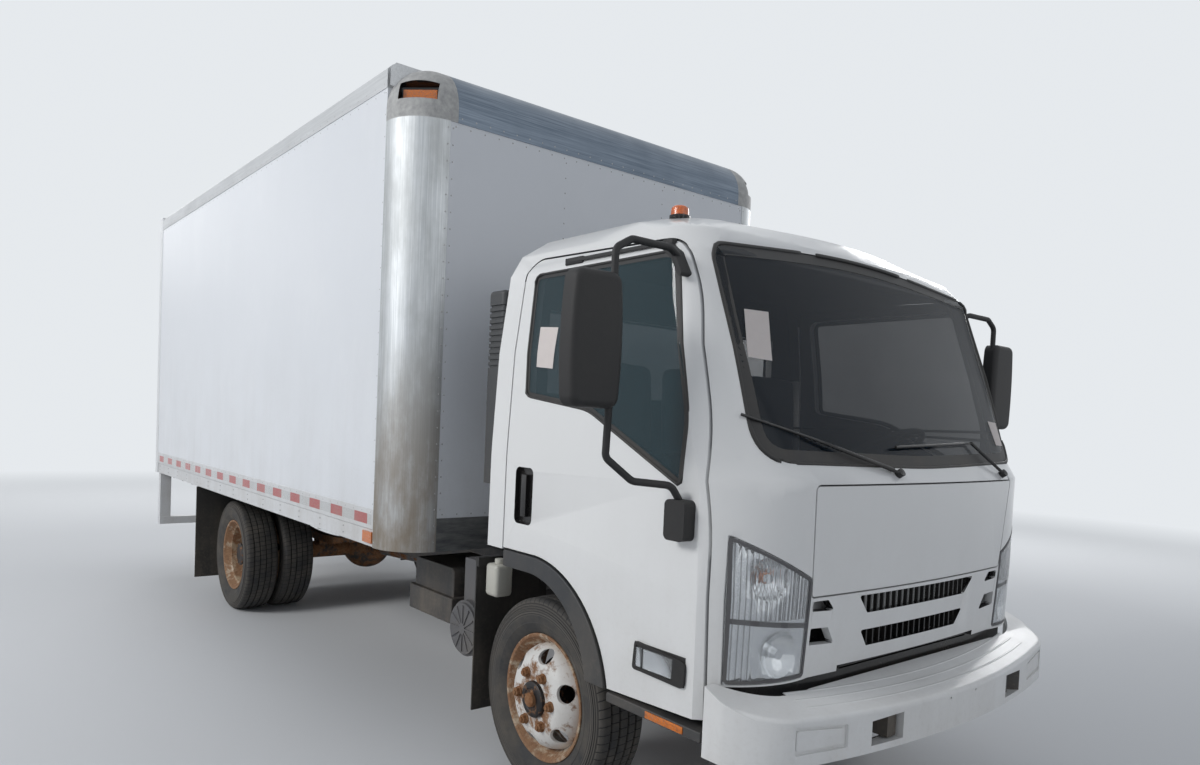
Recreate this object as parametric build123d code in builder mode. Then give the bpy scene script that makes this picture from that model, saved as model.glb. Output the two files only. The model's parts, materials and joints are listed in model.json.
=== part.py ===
from build123d import *
import os
from math import cos, radians, sin

# A low cab forward truck with a dry freight box, in millimetres.
# X runs forward, Y to the left and Z up. The ground is at Z 0 and the origin is under
# the middle of the whole truck, halfway between the rear sill and the bumper's nose.

os.makedirs("parts", exist_ok=True)

# Driving dimensions
NOSE_AHEAD = 1280.0
TAIL_BEHIND = 5670.0
FRONT_AXLE_X = (TAIL_BEHIND - NOSE_AHEAD) / 2
WHEELBASE = 3810.0
BOX_FRONT_BEHIND = 778.0
BOX_LENGTH = 4877.0
BOX_HALF_WIDTH = 1219.0
BOX_BOTTOM = 884.0
BOX_TOP = 3152.0
BOX_CORNER_RADIUS = 210.0
BOX_WALL = 38.0
DECK_TOP = 1005.0
SIDE_RAIL_TOP = 1065.0
TOP_RAIL_BOTTOM = 3040.0
POST_TOP = 2882.0
POST_SIDE_LEG = 234.0

TYRE_RADIUS = 405.0
TYRE_WIDTH = 226.0
RIM_RADIUS = 258.0
FRONT_WHEEL_Y = 832.0
REAR_OUTER_Y = 959.0
REAR_INNER_Y = 699.0
KINGPIN_Y = 700.0
HUB_HEIGHT = TYRE_RADIUS

RAIL_OUTER_Y = 425.0
RAIL_TOP = 800.0
RAIL_DEPTH = 200.0
RAIL_FLANGE = 60.0
RAIL_GAUGE = 8.0
HORN_TOP, HORN_BOTTOM, HORN_END = 640.0, 525.0, 1110.0

CAB_SIDE_THICKNESS = 50.0
DOOR_GAP = 8.0
DOOR_INNER_Y = 870.0
GLASS_RECESS = 4.0
WHOLE_WIDTH = (-1100, 1100)
GLASS_THICKNESS = 7.0


def ahead(distance):
    """X of a place that lies this far ahead of the front axle."""
    return FRONT_AXLE_X + distance


def block(x, y, z, mode=Mode.ADD):
    """A square block between three pairs of limits."""
    with Locations(((x[0] + x[1]) / 2, (y[0] + y[1]) / 2, (z[0] + z[1]) / 2)):
        Box(x[1] - x[0], y[1] - y[0], z[1] - z[0], mode=mode)


def rod(start, end, radius):
    """A round bar from one point to another."""
    line = Vector(*end) - Vector(*start)
    with BuildPart() as bar:
        with BuildSketch(Plane(origin=start, z_dir=line)):
            Circle(radius)
        extrude(amount=line.length)
    return bar.part


def finish(piece, name):
    """Names a finished piece and writes it."""
    piece.part.label = name
    export_step(piece.part, f"parts/{name}.step")


REAR_AXLE_X = ahead(-WHEELBASE)
BOX_FRONT_X = ahead(-BOX_FRONT_BEHIND)
BOX_REAR_X = BOX_FRONT_X - BOX_LENGTH
TAIL_X = ahead(-TAIL_BEHIND)
LAMP_STAND = 8.0
REAR_FACE_X = TAIL_X + LAMP_STAND


# Cab hull: one row for each level, lowest first.
# The columns are height, rear wall, half width, end of the straight side, middle of the
# corner (x, y), start of the front (x, y), nose, and how far the level is roof (0 to 1).
# Every x is ahead of the front axle.
CAB_LEVELS = [
    (580, -333, 1000, 905, 985, 915, 1045, 620, 1062, 0),
    (1000, -333, 1003, 905, 1000, 905, 1075, 620, 1102, 0),
    (1365, -333, 1001, 890, 1003, 890, 1096, 645, 1128, 0),
    (1425, -333, 999, 870, 982, 872, 1046, 672, 1078, 0),
    (1800, -333, 980, 745, 850, 905, 882, 800, 922, 0),
    (2130, -333, 937, 620, 730, 884, 764, 822, 790, 0),
    (2220, -318, 892, 530, 655, 838, 698, 750, 740, 0.4),
    (2287, -240, 812, 330, 495, 690, 575, 580, 668, 1),
    (2335, -60, 650, 240, 410, 560, 455, 440, 500, 1),
]


def cab_hull(inset):
    """The cab's outer form, or the same form drawn in by a wall's thickness."""
    with BuildPart() as hull:
        for row in CAB_LEVELS:
            height, rear, half, side_end, corner_x, corner_y, front_x, front_y, nose, roof = row
            lean = 0.75 * inset
            with BuildSketch(Plane.XY.offset(height - inset * roof)):
                with BuildLine():
                    side = (ahead(side_end), half - inset)
                    middle = (ahead(corner_x) - lean, corner_y - lean)
                    front = (ahead(front_x) - inset, front_y - 0.3 * inset)
                    back = (ahead(rear) + inset, half - inset)
                    Line((back[0], -back[1]), (side[0], -side[1]))
                    ThreePointArc((side[0], -side[1]), (middle[0], -middle[1]), (front[0], -front[1]))
                    ThreePointArc((front[0], -front[1]), (ahead(nose) - inset, 0), front)
                    ThreePointArc(front, middle, side)
                    Line(side, back)
                    Line(back, (back[0], -back[1]))
                make_face()
        loft(ruled=True)
    return hull.part


def outline(points, radii=None):
    """A closed outline, its corners rounded where radii are given, one for each point."""
    with BuildLine() as edge:
        if radii:
            FilletPolyline(points, radius=radii, close=True)
        else:
            Polyline(points, close=True)
    return edge.line


def side_prism(points, y_range, radii=None, grow=0.0):
    """A side-view outline, (distance ahead of the axle, height), carried across between two widths."""
    with BuildPart() as prism:
        with BuildSketch(Plane.XZ.offset(-y_range[1])):
            add(outline([(ahead(x), z) for x, z in points], radii))
            make_face()
            if grow:
                offset(amount=grow, kind=Kind.INTERSECTION, mode=Mode.REPLACE)
        extrude(amount=y_range[1] - y_range[0])
    return prism.part


def front_prism(points, radii=None, grow=0.0):
    """A front-view outline, as (y, z), carried back through the cab's front."""
    with BuildPart() as prism:
        with BuildSketch(Plane.YZ.offset(ahead(690))):
            add(outline(points, radii))
            make_face()
            if grow:
                offset(amount=grow, kind=Kind.INTERSECTION, mode=Mode.REPLACE)
        extrude(amount=640)
    return prism.part


CAB_OUTER = cab_hull(0)
CAB_INNER = cab_hull(CAB_SIDE_THICKNESS)

# Wheel arch edges in side view. The columns are the level stretch's height and front end,
# a point on the arc that follows it, and the arc's foot.
ARCH_EDGE = (985, 20, (325, 862), (480, 590))
FLARE_EDGE = (918, -34, (225, 835), (372, 590))
ARCH_REAR, FLARE_REAR, FLARE_FOOT, FLOOR_LEVEL = -500.0, -197.0, 590.0, 500.0


def arch_prism(edge, y_range, grow=0.0, rear=ARCH_REAR, bottom=FLOOR_LEVEL):
    """The space under an arch edge between two widths, grown outwards all round."""
    top, turn, middle, foot = edge
    diagonal = grow * cos(radians(45))
    foot_x = ahead(foot[0]) + grow
    with BuildPart() as prism:
        with BuildSketch(Plane.XZ.offset(-y_range[1])):
            with BuildLine():
                Line((ahead(rear), top + grow), (ahead(turn), top + grow))
                ThreePointArc((ahead(turn), top + grow),
                              (ahead(middle[0]) + diagonal, middle[1] + diagonal), (foot_x, foot[1]))
                if bottom < foot[1]:
                    Line((foot_x, foot[1]), (foot_x, bottom))
                Polyline((foot_x, bottom), (ahead(rear), bottom), (ahead(rear), top + grow))
            make_face()
        extrude(amount=y_range[1] - y_range[0])
    return prism.part


# Corners of the door, of its window and of the windscreen (seen from ahead), each with its radii
DOOR_CORNERS = [(-210, 560), (931, 612), (924, 1223), (879, 1548), (769, 1976), (686, 2162), (-210, 2187)]
DOOR_RADII = [0, 0, 1500, 1500, 900, 120, 85]
DOOR_WINDOW = [(-110, 1621), (300, 1572), (812, 1333), (822, 1560), (675, 2122), (-143, 2120)]
WINDOW_RADII = [40, 300, 24, 300, 70, 45]
WINDSCREEN = [(0, 1412), (854, 1430), (853, 2154), (0, 2220), (-853, 2154), (-854, 1430)]
WINDSCREEN_RADII = [6000, 130, 70, 6000, 70, 130]

# Cab shell: hull less the room inside, the arches, the engine tunnel and the openings.
TUNNEL_HALF, TUNNEL_TOP = 400.0, 1150.0
NOSE_TUNNEL_HALF, NOSE_TUNNEL_TOP = 470.0, 850.0
SILL_BOTTOM, CORNER_BOTTOM, GRILLE_BOTTOM = 610.0, 722.0, 742.0
REAR_WINDOW = ((-760, 760), (1640, 2010))
SEAT_TOP = 1180.0
FLOOR_THICKNESS = 30.0

with BuildPart() as cab_room:
    add(CAB_INNER)
    add(arch_prism(ARCH_EDGE, WHOLE_WIDTH, grow=FLOOR_THICKNESS), mode=Mode.SUBTRACT)
    for start, end, half, top in ((-500, 750, TUNNEL_HALF + FLOOR_THICKNESS, TUNNEL_TOP),
                                  (220, 1300, NOSE_TUNNEL_HALF + FLOOR_THICKNESS, NOSE_TUNNEL_TOP),
                                  (915, 1300, 1100, CORNER_BOTTOM), (-500, 1300, 1100, SILL_BOTTOM)):
        block((ahead(start), ahead(end)), (-half, half), (FLOOR_LEVEL, top + FLOOR_THICKNESS),
              mode=Mode.SUBTRACT)

with BuildPart() as cab_shell:
    add(CAB_OUTER)
    add(cab_room.part, mode=Mode.SUBTRACT)
    add(arch_prism(ARCH_EDGE, WHOLE_WIDTH), mode=Mode.SUBTRACT)
    for start, end, half, top in ((-500, 720, TUNNEL_HALF, TUNNEL_TOP),
                                  (250, 820, NOSE_TUNNEL_HALF, NOSE_TUNNEL_TOP),
                                  (800, 1300, NOSE_TUNNEL_HALF, GRILLE_BOTTOM),
                                  (945, 1300, 1100, CORNER_BOTTOM), (-500, 1300, 1100, SILL_BOTTOM)):
        block((ahead(start), ahead(end)), (-half, half), (FLOOR_LEVEL, top), mode=Mode.SUBTRACT)
    for side in (-1, 1):
        widths = sorted((side * (DOOR_INNER_Y - DOOR_GAP), side * 1100))
        add(side_prism(DOOR_CORNERS, widths, DOOR_RADII, grow=DOOR_GAP), mode=Mode.SUBTRACT)
    add(front_prism(WINDSCREEN, WINDSCREEN_RADII), mode=Mode.SUBTRACT)
    block((ahead(-420), ahead(-120)), REAR_WINDOW[0], REAR_WINDOW[1], mode=Mode.SUBTRACT)

# Front lid and grille openings in the shell, the duct across behind them and the seat risers
COWL_DUCT = ((930, 1020), (-620, 620), (880, 1430))
SEAT_RISER = ((-284, 240), (429, 850), (1010, SEAT_TOP))
LID_HALF_TOP, LID_HALF_BOTTOM, LID_TOP, LID_BOTTOM = 668.0, 642.0, 1358.0, 995.0
LID_GAP = 6.0
LID_THICKNESS = 30.0
LID_RADII = [14] * 4
GRILLE_TOP = 987.0


LID_OUTLINE = [(-LID_HALF_BOTTOM, LID_BOTTOM), (LID_HALF_BOTTOM, LID_BOTTOM),
               (LID_HALF_TOP, LID_TOP), (-LID_HALF_TOP, LID_TOP)]
GRILLE_OUTLINE = [(-642, GRILLE_BOTTOM), (642, GRILLE_BOTTOM), (642, GRILLE_TOP), (-642, GRILLE_TOP)]
LAMP_OUTLINE = [(648, 729), (1010, 726), (1010, 1206), (930, 1199), (648, 1058)]
LAMP_RADII = [18, 0, 0, 60, 14]

SKIN_INNER = cab_hull(LID_THICKNESS)
with BuildPart() as front_skin:
    add(CAB_OUTER)
    add(SKIN_INNER, mode=Mode.SUBTRACT)

with BuildPart() as front_lid:
    add(front_skin.part)
    add(front_prism(LID_OUTLINE, LID_RADII), mode=Mode.INTERSECT)
finish(front_lid, "front_lid")

# The grille: a panel with two wide slots, crossed by thin upright slats that stand further back,
# and two small slots on each side
GRILLE_SLOTS = [
    [(-393, 977), (404, 977), (341, 912), (-336, 912)],
    [(-363, 852), (339, 852), (292, 792), (-319, 792)],
]
SIDE_SLOTS = [
    [(632, 978), (556, 978), (520, 940), (632, 945)],
    [(632, 888), (543, 884), (504, 825), (632, 832)],
]
SLOT_RADII = [6] * 4
SLATS, SLAT_PITCH, SLAT_GAUGE = 21, 38.0, 7.0
SLAT_RECESS, SLAT_DEPTH, GRILLE_BOW = 12.0, 14.0, 25.0
# Columns are the nose's distance ahead at the slats' middle height, and their height limits
SLAT_ROWS = [(1085, (788, 856)), (1096, (908, 981))]
with BuildPart() as grille:
    add(front_skin.part)
    add(front_prism(GRILLE_OUTLINE), mode=Mode.INTERSECT)
    for slot in GRILLE_SLOTS:
        add(front_prism(slot, SLOT_RADII), mode=Mode.SUBTRACT)
    for slot in SIDE_SLOTS:
        for side in (-1, 1):
            add(front_prism([(side * y, z) for y, z in slot], SLOT_RADII), mode=Mode.SUBTRACT)
    for nose, heights in SLAT_ROWS:
        for index in range(SLATS):
            middle = (index - (SLATS - 1) / 2) * SLAT_PITCH
            front = ahead(nose - GRILLE_BOW * (middle / 620) ** 2 - SLAT_RECESS)
            block((front - SLAT_DEPTH, front), (middle - SLAT_GAUGE / 2, middle + SLAT_GAUGE / 2), heights)
finish(grille, "grille")

# Headlamps: a clear lens over a housing with two round bowls. The columns of the bowls are
# distance ahead, y and height where the axis meets the lens, the turn of the axis outwards,
# opening radius and depth.
LAMP_REAR = 968.0
LENS_THICKNESS, LENS_GAP = 3.0, 5.0
BOWLS = [(1046, 821, 1063, 20.0, 76.0, 44.0), (1056, 765, 816, 14.0, 80.0, 46.0)]
BULB_CAP_RADIUS = 15.0
with BuildPart() as lamp_body:
    add(CAB_OUTER)
    add(front_prism([(-y, z) for y, z in LAMP_OUTLINE], LAMP_RADII, grow=-2), mode=Mode.INTERSECT)
    block((ahead(LAMP_REAR), ahead(1300)), (-1100, 0), (700, 1250), mode=Mode.INTERSECT)
with BuildPart() as headlamps:
    add(lamp_body.part)
    add(cab_hull(LENS_GAP), mode=Mode.INTERSECT)
    for x, y, height, turn, radius, depth in BOWLS:
        axis = Vector(cos(radians(turn)), -sin(radians(turn)), 0)
        sphere_radius = (radius ** 2 + depth ** 2) / (2 * depth)
        mouth = Vector(ahead(x), -y, height)
        with Locations(mouth + axis * (sphere_radius - depth)):
            Sphere(sphere_radius, mode=Mode.SUBTRACT)
        add(rod(mouth - axis * (depth + 5), mouth - axis * 12, BULB_CAP_RADIUS))
    mirror(about=Plane.XZ)
finish(headlamps, "headlamps")
with BuildPart() as headlamp_lenses:
    add(lamp_body.part)
    add(cab_hull(LENS_THICKNESS), mode=Mode.SUBTRACT)
    mirror(about=Plane.XZ)
finish(headlamp_lenses, "headlamp_lenses")

with BuildPart() as lamp_pocket:
    add(front_prism([(-y, z) for y, z in LAMP_OUTLINE], LAMP_RADII))
    block((ahead(LAMP_REAR - 2), ahead(1300)), (-1100, 0), (700, 1250), mode=Mode.INTERSECT)
    mirror(about=Plane.XZ)

with BuildPart() as shell:
    add(cab_shell.part)
    add(front_prism(LID_OUTLINE, LID_RADII, grow=LID_GAP), mode=Mode.SUBTRACT)
    add(front_prism(GRILLE_OUTLINE), mode=Mode.SUBTRACT)
    add(lamp_pocket.part, mode=Mode.SUBTRACT)
    block((ahead(COWL_DUCT[0][0]), ahead(COWL_DUCT[0][1])), COWL_DUCT[1], COWL_DUCT[2])
    for side in (-1, 1):
        block((ahead(SEAT_RISER[0][0]), ahead(SEAT_RISER[0][1])),
              sorted((side * SEAT_RISER[1][0], side * SEAT_RISER[1][1])), SEAT_RISER[2])
finish(shell, "cab_shell")

# Cab glass: the windscreen and the rear window
GLASS_OUTER = cab_hull(GLASS_RECESS)
GLASS_INNER = cab_hull(GLASS_RECESS + GLASS_THICKNESS)
with BuildPart() as glass_sheet:
    add(GLASS_OUTER)
    add(GLASS_INNER, mode=Mode.SUBTRACT)

with BuildPart() as cab_glass:
    add(glass_sheet.part)
    add(front_prism(WINDSCREEN, WINDSCREEN_RADII, grow=-0.5), mode=Mode.INTERSECT)
with BuildPart() as rear_pane:
    add(glass_sheet.part)
    block((ahead(-420), ahead(-120)), (REAR_WINDOW[0][0] + 0.5, REAR_WINDOW[0][1] - 0.5),
          (REAR_WINDOW[1][0] + 0.5, REAR_WINDOW[1][1] - 0.5), mode=Mode.INTERSECT)
with BuildPart() as glazing:
    add(cab_glass.part)
    add(rear_pane.part)
finish(glazing, "cab_glass")

# Doors, each as thick as the cab's side, with a window, a handle recess and its lamp's seat
DOOR_FACE_Y = 1003.0
HANDLE_RECESS = [(-140, 1105), (-16, 1105), (-16, 1335), (-140, 1335)]
HANDLE_BAR = ((-102, -68), (1135, 1305))
HANDLE_DEPTH = 24.0
DOOR_LAMP = ((630, 868), (700, 797))
DOOR_LAMP_DEPTH = 14.0

with BuildPart() as cab_wall:
    add(CAB_OUTER)
    add(CAB_INNER, mode=Mode.SUBTRACT)

with BuildPart() as door_left:
    add(cab_wall.part)
    add(side_prism(DOOR_CORNERS, (DOOR_INNER_Y, 1100), DOOR_RADII), mode=Mode.INTERSECT)
    add(arch_prism(ARCH_EDGE, (DOOR_INNER_Y - 10, 1100), grow=DOOR_GAP), mode=Mode.SUBTRACT)
    add(side_prism(DOOR_WINDOW, (780, 1100), WINDOW_RADII), mode=Mode.SUBTRACT)
    add(side_prism(HANDLE_RECESS, (DOOR_FACE_Y - HANDLE_DEPTH, 1010), [26] * 4), mode=Mode.SUBTRACT)
    block((ahead(HANDLE_BAR[0][0]), ahead(HANDLE_BAR[0][1])), (DOOR_FACE_Y - HANDLE_DEPTH, DOOR_FACE_Y - 4),
          HANDLE_BAR[1])
    block((ahead(DOOR_LAMP[0][0]), ahead(DOOR_LAMP[0][1])), (DOOR_FACE_Y - DOOR_LAMP_DEPTH, DOOR_FACE_Y + 3),
          DOOR_LAMP[1])
finish(door_left, "door_left")
with BuildPart() as door_right:
    mirror(door_left.part, about=Plane.XZ)
finish(door_right, "door_right")

with BuildPart() as door_glass_left:
    add(glass_sheet.part)
    add(side_prism(DOOR_WINDOW, (860, 1100), WINDOW_RADII), mode=Mode.INTERSECT)
finish(door_glass_left, "door_glass_left")
with BuildPart() as door_glass_right:
    mirror(door_glass_left.part, about=Plane.XZ)
finish(door_glass_right, "door_glass_right")

# Mirrors: a tall barrel-shaped head on one bent tube between a bracket at the door's top
# corner and a foot below. The columns of the head's sections are height and half width.
MIRROR_TUBE = 12.0
MIRROR_X, MIRROR_Y = (680, 745), 1310.0
MIRROR_SECTIONS = [(1995, 88), (1786, 102), (1577, 92)]
UPPER_ARM = [(712, 1235, 1975), (712, 1235, 2075), (712, 1170, 2112), (705, 1000, 2114), (690, 948, 2098)]
LOWER_ARM = [(712, 1235, 1590), (705, 1235, 1425), (740, 1150, 1352), (830, 1065, 1345), (835, 1025, 1290)]
UPPER_BRACKET = [(628, 2128), (645, 2148), (690, 2114), (733, 2036), (722, 2018), (680, 2086)]
LOWER_FOOT = [(790, 1170), (880, 1170), (880, 1300), (790, 1300)]
with BuildPart() as mirror_mounts:
    add(side_prism(UPPER_BRACKET, (860, 968), [8] * 6))
    add(side_prism(LOWER_FOOT, (990, 1052), [20] * 4))
    add(CAB_OUTER, mode=Mode.SUBTRACT)
with BuildPart() as mirror_left:
    with BuildSketch(Plane.YZ.offset(ahead(MIRROR_X[0]))) as head:
        with BuildLine():
            edges = [[(MIRROR_Y + side * half, z) for z, half in MIRROR_SECTIONS] for side in (-1, 1)]
            ThreePointArc(*edges[0])
            ThreePointArc(*edges[1])
            Line(edges[0][0], edges[1][0])
            Line(edges[0][2], edges[1][2])
        make_face()
        fillet(head.vertices(), 38)
    extrude(amount=MIRROR_X[1] - MIRROR_X[0])
    fillet(mirror_left.faces().sort_by(Axis.X)[-1].edges(), 24)
    for route in (UPPER_ARM, LOWER_ARM):
        points = [(ahead(x), y, z) for x, y, z in route]
        with BuildLine() as tube_line:
            FilletPolyline(points, radius=32)
        with BuildSketch(Plane(origin=points[0], z_dir=Vector(*points[1]) - Vector(*points[0]))):
            Circle(MIRROR_TUBE)
        sweep(path=tube_line.line)
    add(mirror_mounts.part)
finish(mirror_left, "mirror_left")
with BuildPart() as mirror_right:
    mirror(mirror_left.part, about=Plane.XZ)
finish(mirror_right, "mirror_right")

# Arch flares along the wheel openings and the steps below the doors
STEP = ((494, 951), (742, 1008), (549, 583))
FLARE_WIDTHS = (DOOR_INNER_Y - DOOR_GAP - 7, 1012)
LIP_INNER_Y = 918.0
FLARE_ROOT = 18.0
with BuildPart() as arch_flares_and_steps:
    add(arch_prism(ARCH_EDGE, FLARE_WIDTHS, rear=FLARE_REAR, bottom=FLARE_FOOT))
    add(arch_prism(FLARE_EDGE, (LIP_INNER_Y, 1100)), mode=Mode.SUBTRACT)
    # Inboard of the lip only a thin root is left, so that the steered tyre clears it
    add(arch_prism(ARCH_EDGE, (800, LIP_INNER_Y), grow=-FLARE_ROOT), mode=Mode.SUBTRACT)
    block((ahead(STEP[0][0]), ahead(STEP[0][1])), STEP[1], STEP[2])
    block((ahead(STEP[0][0] + 10), ahead(STEP[0][1] - 10)), (742, 900), (583, SILL_BOTTOM))
    mirror(about=Plane.XZ)
finish(arch_flares_and_steps, "arch_flares_and_steps")

# Inside the cab: seats, and a dashboard with its steering wheel
SEAT_ROWS = [(540, 480), (20, 380), (-510, 480)]
with BuildPart() as seats:
    for middle, width in SEAT_ROWS:
        limits = (middle - width / 2, middle + width / 2)
        block((ahead(-190), ahead(250)), limits, (SEAT_TOP + 1, 1300))
        with BuildSketch(Plane.XZ.offset(-limits[1])):
            with BuildLine():
                Polyline((ahead(-190), 1300), (ahead(-90), 1300), (ahead(-120), 1800),
                         (ahead(-205), 1800), close=True)
            make_face()
        extrude(amount=width)
finish(seats, "seats")

STEERING_CENTRE = (ahead(560), 520, 1440)
STEERING_TILT = 32.0
with BuildPart() as dashboard:
    with BuildSketch(Plane.XZ.offset(-860)):
        with BuildLine():
            Polyline((ahead(925), 1200), (ahead(930), 1395), (ahead(800), 1425), (ahead(720), 1410),
                     (ahead(700), 1330), (ahead(760), 1200), close=True)
        make_face()
    extrude(amount=1720)
    wheel_plane = Plane(origin=STEERING_CENTRE, z_dir=(-sin(radians(STEERING_TILT)), 0,
                                                       cos(radians(STEERING_TILT))))
    with BuildSketch(Plane(origin=wheel_plane.origin + wheel_plane.x_dir * 205, x_dir=wheel_plane.x_dir,
                           z_dir=wheel_plane.y_dir)):
        Circle(14)
    revolve(axis=Axis(wheel_plane.origin, wheel_plane.z_dir))
    add(rod(wheel_plane.origin + wheel_plane.z_dir * 12, wheel_plane.origin - wheel_plane.z_dir * 300, 32))
    for turn in (0, 120, 240):
        spoke = wheel_plane.x_dir.rotate(Axis((0, 0, 0), wheel_plane.z_dir), turn) * 200
        add(rod(wheel_plane.origin, wheel_plane.origin + spoke, 11))
    block((ahead(620), ahead(760)), (480, 560), (1180, 1400))
finish(dashboard, "dashboard")

# Air intake: a stack with a round top and grooves round its upper half
STACK_X, STACK_Y = (-470, -345), (-960, -800)
GROOVES, GROOVE_PITCH, GROOVE_HEIGHT, GROOVE_DEPTH, GROOVES_FROM = 11, 26.0, 11.0, 7.0, 1745.0
with BuildPart() as intake_snorkel:
    block((ahead(STACK_X[0]), ahead(STACK_X[1])), STACK_Y, (1240, 2080))
    fillet(intake_snorkel.edges().filter_by(Axis.Z), 22)
    fillet(intake_snorkel.faces().sort_by(Axis.Z)[-1].edges(), 20)
    for index in range(GROOVES):
        with BuildSketch(Plane.XY.offset(GROOVES_FROM + index * GROOVE_PITCH)):
            with Locations((ahead(sum(STACK_X) / 2), sum(STACK_Y) / 2)):
                Rectangle(STACK_X[1] - STACK_X[0] + 10, STACK_Y[1] - STACK_Y[0] + 10)
                RectangleRounded(STACK_X[1] - STACK_X[0] - 2 * GROOVE_DEPTH,
                                 STACK_Y[1] - STACK_Y[0] - 2 * GROOVE_DEPTH, 15, mode=Mode.SUBTRACT)
        extrude(amount=GROOVE_HEIGHT, mode=Mode.SUBTRACT)
    block((ahead(-420), ahead(-333)), (-930, -830), (1300, 1345))
    block((ahead(-420), ahead(-333)), (-930, -830), (1900, 1945))
finish(intake_snorkel, "intake_snorkel")

# Amber lamp on the roof: a low base and a dome
BEACON_PLACE = (ahead(334), -600)
BEACON_BASE, BEACON_TOP = 2347.0, 2386.0
with BuildPart() as roof_beacon:
    with BuildSketch(Plane.XY.offset(CAB_LEVELS[-2][0])):
        with Locations(BEACON_PLACE):
            Circle(41)
    extrude(amount=BEACON_BASE - CAB_LEVELS[-2][0])
    add(CAB_OUTER, mode=Mode.SUBTRACT)
    with BuildSketch(Plane.XY.offset(BEACON_BASE)):
        with Locations(BEACON_PLACE):
            Circle(36)
    extrude(amount=BEACON_TOP - BEACON_BASE, taper=4)
    fillet(roof_beacon.faces().sort_by(Axis.Z)[-1].edges(), 15)
finish(roof_beacon, "roof_beacon")

# Wipers: a pivot on the cowl, an arm and a blade that follows the glass. The columns are the
# pivot, the blade's start, middle and end, and the place on the blade that the arm holds.
WIPERS = [
    ((1102, -218, 1392), (1097, -236, 1411), (1042, -552, 1492), (944, -882, 1578)),
    ((1087, 596, 1383), (1043, 412, 1511), (1058, 119, 1500), (1061, -174, 1489)),
]
BLADE_RADIUS, ARM_RADIUS, PIVOT_RADIUS = 5.0, 6.0, 15.0
with BuildPart() as wipers:
    for index, (pivot, start, middle, end) in enumerate(WIPERS):
        pivot, start, middle, end = (Vector(ahead(x), y, z) for x, y, z in (pivot, start, middle, end))
        held = start if index else middle
        with BuildLine() as blade_line:
            ThreePointArc(start, middle, end)
        with BuildSketch(Plane(origin=start, z_dir=blade_line.line % 0)):
            Circle(BLADE_RADIUS)
        sweep(path=blade_line.line)
        add(rod(pivot + Vector(10, 0, 6), held, ARM_RADIUS))
        add(rod(pivot - Vector(12, 0, 8), pivot + Vector(18, 0, 12), PIVOT_RADIUS))
    add(CAB_OUTER, mode=Mode.SUBTRACT)
finish(wipers, "wipers")

# Front bumper: a deep bowed channel, open behind and below, whose top slopes forward and is cut
# back round the cab's nose
BUMPER_HALF, BUMPER_BOTTOM, BUMPER_BACK, BUMPER_WALL = 1010.0, 512.0, 962.0, 30.0
BUMPER_TOP_LINE = [(BUMPER_BACK, 735), (1065, 690), (1300, 638)]


def bumper_form(inset):
    """The bumper's solid form: bowed plan, wrapped ends and sloping top, all drawn in by a wall."""
    end = (ahead(BUMPER_BACK), BUMPER_HALF - inset)
    turn = (ahead(1030), BUMPER_HALF - inset)
    knee = (ahead(1128) - 0.7 * inset, 945 - 0.7 * inset)
    shoulder = (ahead(1195) - inset, 800 - 0.4 * inset)
    with BuildPart() as form:
        with BuildSketch(Plane.XY.offset(BUMPER_BOTTOM)):
            with BuildLine():
                ThreePointArc((shoulder[0], -shoulder[1]), (ahead(NOSE_AHEAD) - inset, 0), shoulder)
                ThreePointArc(shoulder, knee, turn)
                Polyline(turn, end, (end[0], -end[1]), (turn[0], -turn[1]))
                ThreePointArc((turn[0], -turn[1]), (knee[0], -knee[1]), (shoulder[0], -shoulder[1]))
            make_face()
        extrude(amount=BUMPER_TOP_LINE[0][1] - BUMPER_BOTTOM)
        with BuildSketch(Plane.XZ.offset(-1100)):
            with BuildLine():
                top = [(ahead(x), z - inset) for x, z in BUMPER_TOP_LINE]
                Polyline(top + [(top[-1][0], FLOOR_LEVEL), (top[0][0], FLOOR_LEVEL)], close=True)
            make_face()
        extrude(amount=2200, mode=Mode.INTERSECT)
    return form.part


def bumper_layer(outer, inner, corners):
    """The bumper's layer between two depths, within an outline seen from ahead."""
    with BuildPart() as layer:
        add(bumper_form(outer))
        add(bumper_form(inner), mode=Mode.SUBTRACT)
        add(front_prism(corners, [8] * len(corners)), mode=Mode.INTERSECT)
    return layer.part


PLATE_SPACING, PLATE_HEIGHT, PLATE_HOLE = 178.0, 621.0, 5.0
# Square openings for fog lamps, tapering back to a hole: y limits, z limits, at two distances ahead
FOG_MOUTH, FOG_MOUTH_X = ((366, 564), (536, 634)), 1290.0
FOG_HOLE, FOG_HOLE_X = ((362, 485), (532, 598)), 1206.0
FOG_BOSS = ((350, 578), (BUMPER_BOTTOM, 640))
BLANK_RECESS = [(628, 548), (842, 552), (842, 640), (628, 622)]
BLANK_COVER = [(642, 560), (833, 564), (833, 627), (642, 611)]
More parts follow.
